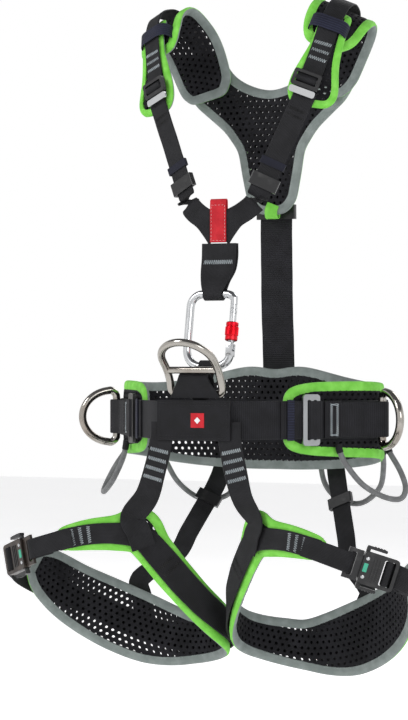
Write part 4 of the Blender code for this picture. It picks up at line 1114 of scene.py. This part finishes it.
def leg_buckle_frame():
    """x forward along the leg strap, z out of the buckle's face."""
    origin = leg_point(LEG_BUCKLE_ANGLE, 0.008, LEG_BUCKLE_HEIGHT)
    ahead = leg_point(LEG_BUCKLE_ANGLE + 1, 0.008, LEG_BUCKLE_HEIGHT) - origin
    along = ahead.normalized() * math.cos(LEG_BUCKLE_DROP) - UP * math.sin(LEG_BUCKLE_DROP)
    return local_frame(origin, along, ahead.cross(UP))


def make_legs():
    """Leg loops, risers and the webbing in the leg buckles."""
    turn = leg_buckle_frame()
    riser = [(0.043, -0.104, -0.002), (0.044, -0.1041, -0.025), (0.052, -0.1058, -0.06),
             (0.0615, -0.1074, -0.09)]
    riser += [tuple(leg_point(angle, 0.0104, z)) for angle, z in ((264, -0.114), (261, -0.131), (258, -0.15))]
    facing = [(1, 0, 0.1)] * 3 + [(0.95, -0.2, 0.25)] + [(0.82, -0.5, 0.25)] * 3
    front = strip([(*place, 0.029, *hint) for place, hint in zip(riser, facing)], 5)

    rear = [(0.0755, 0.142, -0.03), (0.0765, 0.142, -0.062), (0.084, 0.1335, -0.09),
            (0.095, 0.118, -0.118), (0.106, 0.1025, -0.146), (0.117, 0.087, -0.174)]
    rear += [tuple(leg_point(angle, lift, z)) for angle, lift, z in
             ((98, 0.015, -0.202), (99, 0.0098, -0.226), (100, 0.0094, -0.252))]
    across = [(-1, 0.1, 0)] * 2 + [(-0.92, 0.05, -0.35)] * 4 + [(-0.93, 0.3, -0.2)] + [(-0.93, 0.36, 0)] * 2
    behind = strip([(*place, 0.025, *hint) for place, hint in zip(rear, across)], 5)

    over = [leg_point(296, 0.0094, -0.1385), leg_point(301, 0.0098, -0.1412), leg_point(306, 0.0105, -0.144)]
    wrap = [(-0.03, 0.0031), (-0.0232, 0.0031), (-0.0201, 0.0), (-0.0232, -0.0031), (-0.029, -0.0031)]
    under = [leg_point(309.5, 0.006, -0.147)]
    points = over + side_view(turn, wrap) + under
    tongue_web = path_ribbon(points, 0.0235, y_axis(turn))

    path = [(0.0345, -0.0062), (0.0258, 0.0), (0.0232, 0.006), (0.0203, 0.006), (0.0178, 0.0),
            (0.0203, -0.0066), (0.029, -0.0085)]
    points = [leg_point(angle, 0.008, height) for angle, height in ((12, -0.1845), (6, -0.1805), (0, -0.1775))]
    points += side_view(turn, path)
    socket_web = path_ribbon(points, 0.0275, y_axis(turn))
    points = side_view(turn, [(0.033, -0.003), (0.0375, -0.0028)])
    points += [leg_point(angle, 0.0145, height) for angle, height in ((2, -0.1785), (9, -0.1825), (17, -0.1875))]
    tail = path_ribbon(points, 0.027, y_axis(turn))

    for tag, side in SIDES:
        strap("leg_web_" + tag, LEG_WEB_RIBBON, WEB, BLACK_WEB, side=side, replaces="leg_webbing_" + tag,
              ripple=0.0002)
        end = LEG_WEB_RIBBON.total
        tacks("leg_tacks_" + tag, LEG_WEB_RIBBON, [end - 0.04, end - 0.03, end - 0.02], 0.02, 0.0011, side)
        tacks("leg_dark_tacks_" + tag, LEG_WEB_RIBBON, [end - 0.155, end - 0.145, end * 0.42, end * 0.44], 0.024,
              0.0011, side, BLACK_THREAD)
        strap("front_riser_web_" + tag, front, WEB, BLACK_WEB, side=side, replaces="front_riser_" + tag)
        tacks("riser_tacks_" + tag, front, [0.034, 0.045, 0.056, 0.067], 0.024, 0.0011, side)
        strap("rear_riser_web_" + tag, behind, WEB, BLACK_WEB, side=side, replaces="rear_riser_" + tag)
        tacks("rear_riser_tacks_" + tag, behind, [0.01, 0.02, behind.total - 0.012], 0.02, 0.0011, side,
              BLACK_THREAD)
        strap("tongue_web_" + tag, tongue_web, 0.0018, BLACK_WEB, side=side, body="leg_buckle_tongue_" + tag,
              step=0.0012)
        strap("socket_web_" + tag, socket_web, 0.0018, BLACK_WEB, side=side, step=0.0012)
        strap("strap_tail_" + tag, tail, 0.002, BLACK_WEB, side=side, step=0.002)
        make_leg_buckle_trim(tag, side, turn)


# ---------------------------------------------------------------- hardware

def make_leg_buckle_trim(tag, side, turn):
    """Rivets, a lock indicator and ribs on the leg buckle."""
    bm = bmesh.new()
    head = [(0.0001, 0.0058), (0.0014, 0.0057), (0.0021, 0.0052), (0.0023, 0.0044)]
    for y in (-0.0105, 0.0105):
        turned_into(bm, head, turn @ Matrix.Translation((-0.0045, y, 0)), 16)
    finish_mesh("leg_rivets_" + tag, bm, [BRIGHT], side)
    bm = bmesh.new()
    box_into(bm, (-0.007, -0.005, 0.0046), (-0.002, 0.005, 0.0053), turn, 0.0005)
    finish_mesh("leg_indicator_" + tag, bm, [GREEN_DOT], side)
    bm = bmesh.new()
    for x in (0.003, 0.0065, 0.01):
        box_into(bm, (x, -0.013, 0.0046), (x + 0.0016, 0.013, 0.0055), turn, 0.0004)
    finish_mesh("leg_ribs_" + tag, bm, [BLACK_METAL], side)
    bm = bmesh.new()
    for sign in (-1, 1):
        low, high = sorted((sign * 0.0248, sign * 0.0256))
        for x in (0.0, 0.0035, 0.007, 0.0105):
            box_into(bm, (x, low, -0.0026), (x + 0.0014, high, 0.0026), turn, 0.0002)
        low, high = sorted((sign * 0.0178, sign * 0.023))
        box_into(bm, (-0.0085, low, -0.0022), (-0.004, high, 0.0022), turn, 0.0004)
    finish_mesh("leg_grips_" + tag, bm, [BLACK_METAL], side)


def make_d_rings():
    """Side rings: a straight bar and a half ellipse."""
    out = Vector((math.cos(D_FOLD), math.sin(D_FOLD), 0))
    bar = Vector((*D_BAR, 0))
    arc = [math.radians(90 - 180 * k / 24) for k in range(25)]
    outline = [(0.0, -D_HALF_HEIGHT + 0.006), (0.0, -0.013), (0.0, 0.0), (0.0, 0.013), (0.0, D_HALF_HEIGHT - 0.006)]
    outline += [(0.006 + (D_REACH - 0.006) * math.cos(a), D_HALF_HEIGHT * math.sin(a)) for a in arc]
    points = [Vector(p) for p in smooth([tuple(bar + out * x + UP * z) for x, z in outline], 3, closed=True)]
    for tag, side in SIDES:
        bm = bmesh.new()
        tube_into(bm, points, [D_TUBE] * len(points), 20, closed=True)
        piece = finish_mesh("side_ring_" + tag, bm, [STEEL], side, "d_ring_" + tag)
        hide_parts("d_ring_" + tag)


def make_ventral_ring():
    """The large front ring with its crossbar."""
    corner = 0.005
    low = [(-RING_HALF_WIDTH + corner, 0), (-0.014, 0), (0, 0), (0.014, 0), (RING_HALF_WIDTH - corner, 0),
           (RING_HALF_WIDTH, corner)]
    arc = [math.radians(180 * k / 20) for k in range(21)]
    top = 0.0785 - RING_STRAIGHT
    outline = low + [(RING_HALF_WIDTH, h) for h in (0.015, 0.024, RING_CROSSBAR, 0.039)]
    outline += [(RING_HALF_WIDTH * math.cos(a), RING_STRAIGHT + top * math.sin(a)) for a in arc]
    outline += [(-RING_HALF_WIDTH, h) for h in (0.039, RING_CROSSBAR, 0.024, 0.015, corner)]
    points = [Vector(p) for p in smooth([tuple(ring_place(h, 0, x)) for x, h in outline], 3, closed=True)]
    bm = bmesh.new()
    tube_into(bm, points, [RING_TUBE] * len(points), 20, closed=True)
    ends = [ring_place(RING_CROSSBAR, 0, x) for x in (-RING_HALF_WIDTH, -0.01, 0.01, RING_HALF_WIDTH)]
    tube_into(bm, ends, [0.0041] * 4, 18)
    piece = finish_mesh("front_ring", bm, [STEEL], body="ventral_ring")
    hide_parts("ventral_ring")


def corner_arc(x, z, radius_x, radius_z, start, end):
    """Points on a quarter of an ellipse."""
    turns = [math.radians(start + (end - start) * k / 12) for k in range(13)]
    return [(x + radius_x * math.cos(a), z + radius_z * math.sin(a)) for a in turns]


def make_carabiner():
    """Body, gate and sleeve of the connector."""
    turn = carabiner_frame()
    half, height = CARABINER_HALF_WIDTH, CARABINER_HEIGHT
    route = [(half, GATE_PIVOT - 0.006)]
    route += corner_arc(half - 0.018, -height + 0.0155, 0.018, 0.0155, 0, -90)
    route += corner_arc(-half + 0.021, -height + 0.021, 0.021, 0.021, -90, -180)
    route += [(-half, -height * 0.62), (-half, -height / 2), (-half, -height * 0.3)]
    route += corner_arc(-half + 0.0145, -0.0145, 0.0145, 0.0145, 180, 90)
    route += corner_arc(half - 0.011, -0.008, 0.011, 0.008, 90, 0)
    route += [(half, GATE_TOP + 0.0006)]
    points = side_view(turn, route)
    radii = [CARABINER_TUBE] * (len(points) - 4) + [0.0046, 0.0043, 0.0041, 0.0041]
    bm = bmesh.new()
    tube_into(bm, points, radii, 20)
    for sign in (-1, 1):
        low, high = sorted((sign * 0.0035, sign * 0.0057))
        box_into(bm, (half - 0.0038, low, GATE_PIVOT - 0.0115), (half + 0.0038, high, GATE_PIVOT + 0.0036), turn,
                 0.0008)
    piece = finish_mesh("connector_body", bm, [BRIGHT])
    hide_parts("carabiner_body")

    lengths = [GATE_PIVOT - 0.0032, GATE_PIVOT + 0.0045, GATE_PIVOT + 0.006, SLEEVE_BOTTOM - 0.001, GATE_TOP]
    bm = bmesh.new()
    tube_into(bm, [turn @ Vector((half, 0, z)) for z in lengths], [0.003, 0.003, 0.004, 0.004, 0.004], 18)
    for k in range(5):
        z = GATE_TOP - 0.004 - 0.0016 * k
        turned_into(bm, [(0.0039, z - 0.0005), (0.0043, z), (0.0039, z + 0.0005)],
                    turn @ Matrix.Translation((half, 0, 0)), 18)
    piece = finish_mesh("connector_gate", bm, [BRIGHT], body="carabiner_gate")
    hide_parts("carabiner_gate")
    make_sleeve(turn @ Matrix.Translation((half, 0, SLEEVE_BOTTOM)))


def make_sleeve(place):
    """The knurled screw sleeve: ridges round a turned tube."""
    ridges = 22
    profile = [(0.0051, 0.0), (0.0066, 0.0), (0.0074, 0.001), (0.0074, 0.0045), (0.007, 0.005), (0.007, 0.0056),
               (0.0079, 0.0066), (0.0079, 0.016), (0.007, 0.017), (0.007, 0.0176), (0.0074, 0.0182),
               (0.0074, SLEEVE_LENGTH - 0.001), (0.0066, SLEEVE_LENGTH), (0.0051, SLEEVE_LENGTH)]
    rings = []
    for radius, z in profile:
        ring = []
        for k in range(ridges * 4):
            a = 2 * math.pi * k / (ridges * 4)
            knurl = -0.0007 if radius > 0.0078 and k % 4 in (0, 1) else 0.0
            ring.append(place @ Vector(((radius + knurl) * math.cos(a), (radius + knurl) * math.sin(a), z)))
        rings.append(ring)
    bm = bmesh.new()
    loft(bm, rings + rings[:1], caps=False)
    bmesh.ops.remove_doubles(bm, verts=bm.verts, dist=1e-7)
    bmesh.ops.recalc_face_normals(bm, faces=bm.faces)
    piece = finish_mesh("screw_sleeve", bm, [RED_METAL], body="carabiner_sleeve", smooth_angle=30)
    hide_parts("carabiner_sleeve")


def make_gear_loops():
    """Two moulded loops a side, their ends sleeved in cloth."""
    lift = 0.0095
    front = [waist_point(3.72, lift, -0.0285), waist_point(3.74, lift + 0.001, -0.037)]
    front += [Vector(p) for p in GEAR_FRONT_MIDDLE]
    front += [waist_point(5.62, lift + 0.001, -0.038), waist_point(5.62, lift, -0.0285)]
    rear = [waist_point(6.75, lift, -0.03), waist_point(6.8, lift + 0.001, -0.042)]
    rear += [Vector(p) for p in GEAR_REAR_MIDDLE]
    rear += [waist_point(8.8, lift + 0.001, -0.048), waist_point(8.85, lift, -0.03)]
    for tag, side in SIDES:
        for place, route in (("front", front), ("rear", rear)):
            node_name = "gear_loop_" + place + "_" + tag
            points = [Vector(p) for p in smooth([tuple(p) for p in route], 7)]
            bm = bmesh.new()
            tube_into(bm, points, [GEAR_TUBE] * len(points), 14)
            for end in (points[:9], points[-9:]):
                tube_into(bm, end, [GEAR_TUBE + 0.0007] * 9, 14, material=1)
            piece = finish_mesh("moulded_loop_" + place + "_" + tag, bm, [GEAR_GREY, BLACK_WEB], side, node_name)
            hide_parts(node_name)


def dress_hardware():
    """Materials and rounded edges for the CAD pieces that stay."""
    looks = {"waist_buckle": (GREY_METAL, 0.0006), "shoulder_buckle": (BLACK_METAL, 0.0006),
             "shoulder_lever": (BRIGHT, 0.0004), "leg_buckle_socket": (BLACK_METAL, 0.0009),
             "leg_buckle_tongue": (BLACK_METAL, 0.0004), "release_lever": (BLACK_METAL, 0.0006),
             "chest_keeper": (ELASTIC, 0.0003), "chest_adjuster": (BLACK_METAL, 0.0006),
             "dorsal_adjuster": (BLACK_METAL, 0.0006), "rear_riser_adjuster": (BLACK_METAL, 0.0006),
             "gate_pin": (BRIGHT, 0.0003)}
    for name, obj in frame["nodes"].items():
        for start, (look, width) in looks.items():
            if name.startswith(start):
                if name.startswith("leg_buckle") and name.endswith("_R"):
                    look = BRONZE_BLACK
                if name == "waist_buckle_R":
                    look = BLACK_METAL
                for place in obj.material_slots:
                    place.material = look
                bevel = obj.modifiers.new("edges", "BEVEL")
                bevel.width = width
                bevel.segments = 3
                bevel.limit_method = "ANGLE"
                bevel.angle_limit = math.radians(35)
                bevel.harden_normals = False
                obj.data.shade_smooth()
                obj.modifiers.new("normals", "WEIGHTED_NORMAL")


# ---------------------------------------------------------------- camera, light and floor

def make_stage():
    """White floor, graded sky, three lamps and the photo's camera."""
    made = new_material("pale_floor", (0.93, 0.93, 0.93), 0.9)
    vary_color(made, (0.9, 0.9, 0.9), 3, 0.42, 0.62)
    shader_of(made).inputs["Emission Color"].default_value = (1, 1, 1, 1)
    shader_of(made).inputs["Emission Strength"].default_value = 0.5
    bm = bmesh.new()
    bmesh.ops.create_grid(bm, x_segments=2, y_segments=2, size=6)
    mesh = bpy.data.meshes.new("floor")
    bm.to_mesh(mesh)
    bm.free()
    floor = bpy.data.objects.new("floor", mesh)
    floor.location = (0, 0, -0.42)
    mesh.materials.append(made)
    bpy.context.scene.collection.objects.link(floor)

    world = bpy.data.worlds.new("studio")
    world.use_nodes = True
    tree = world.node_tree
    sky = tree.nodes["Background"]
    sky.inputs["Strength"].default_value = 1.0
    place = tree.nodes.new("ShaderNodeTexCoord")
    height = tree.nodes.new("ShaderNodeSeparateXYZ")
    fade = tree.nodes.new("ShaderNodeValToRGB")
    fade.color_ramp.elements[0].position = 0.42
    fade.color_ramp.elements[0].color = (1, 1, 1, 1)
    fade.color_ramp.elements[1].position = 0.62
    fade.color_ramp.elements[1].color = (0.16, 0.16, 0.17, 1)
    tree.links.new(place.outputs["Generated"], height.inputs["Vector"])
    tree.links.new(height.outputs["Z"], fade.inputs["Fac"])
    tree.links.new(fade.outputs["Color"], sky.inputs["Color"])
    scene = bpy.context.scene
    scene.world = world
    scene.view_settings.view_transform = "Standard"

    for name, place, size, power in (("key", (-1.3, -1.9, 1.9), 0.9, 34), ("fill", (1.9, -1.5, 0.8), 0.9, 12),
                                     ("back", (0.5, 1.9, 1.6), 1.2, 16)):
        lamp = bpy.data.lights.new(name, "AREA")
        lamp.energy = power
        lamp.size = size
        light = bpy.data.objects.new(name, lamp)
        light.location = place
        light.rotation_euler = (-Vector(place)).to_track_quat("-Z", "Y").to_euler()
        scene.collection.objects.link(light)

    distance, azimuth, shown_height = 2.8, math.radians(25), 0.864
    right = Vector((math.cos(azimuth), math.sin(azimuth), 0))
    target = Vector((0, 0, 0.07)) - right * 0.034
    lens = bpy.data.cameras.new("camera")
    lens.sensor_fit = "VERTICAL"
    lens.sensor_height = 36
    lens.lens = lens.sensor_height * distance / shown_height
    camera = bpy.data.objects.new("camera", lens)
    camera.location = target + distance * Vector((math.sin(azimuth), -math.cos(azimuth), 0))
    camera.rotation_euler = (math.radians(90), 0, azimuth)
    scene.collection.objects.link(camera)
    scene.camera = camera


make_stage()
make_pads()
make_belt()
make_ring_web()
make_chest()
make_dorsal()
make_legs()
make_d_rings()
make_ventral_ring()
make_carabiner()
make_gear_loops()
dress_hardware()
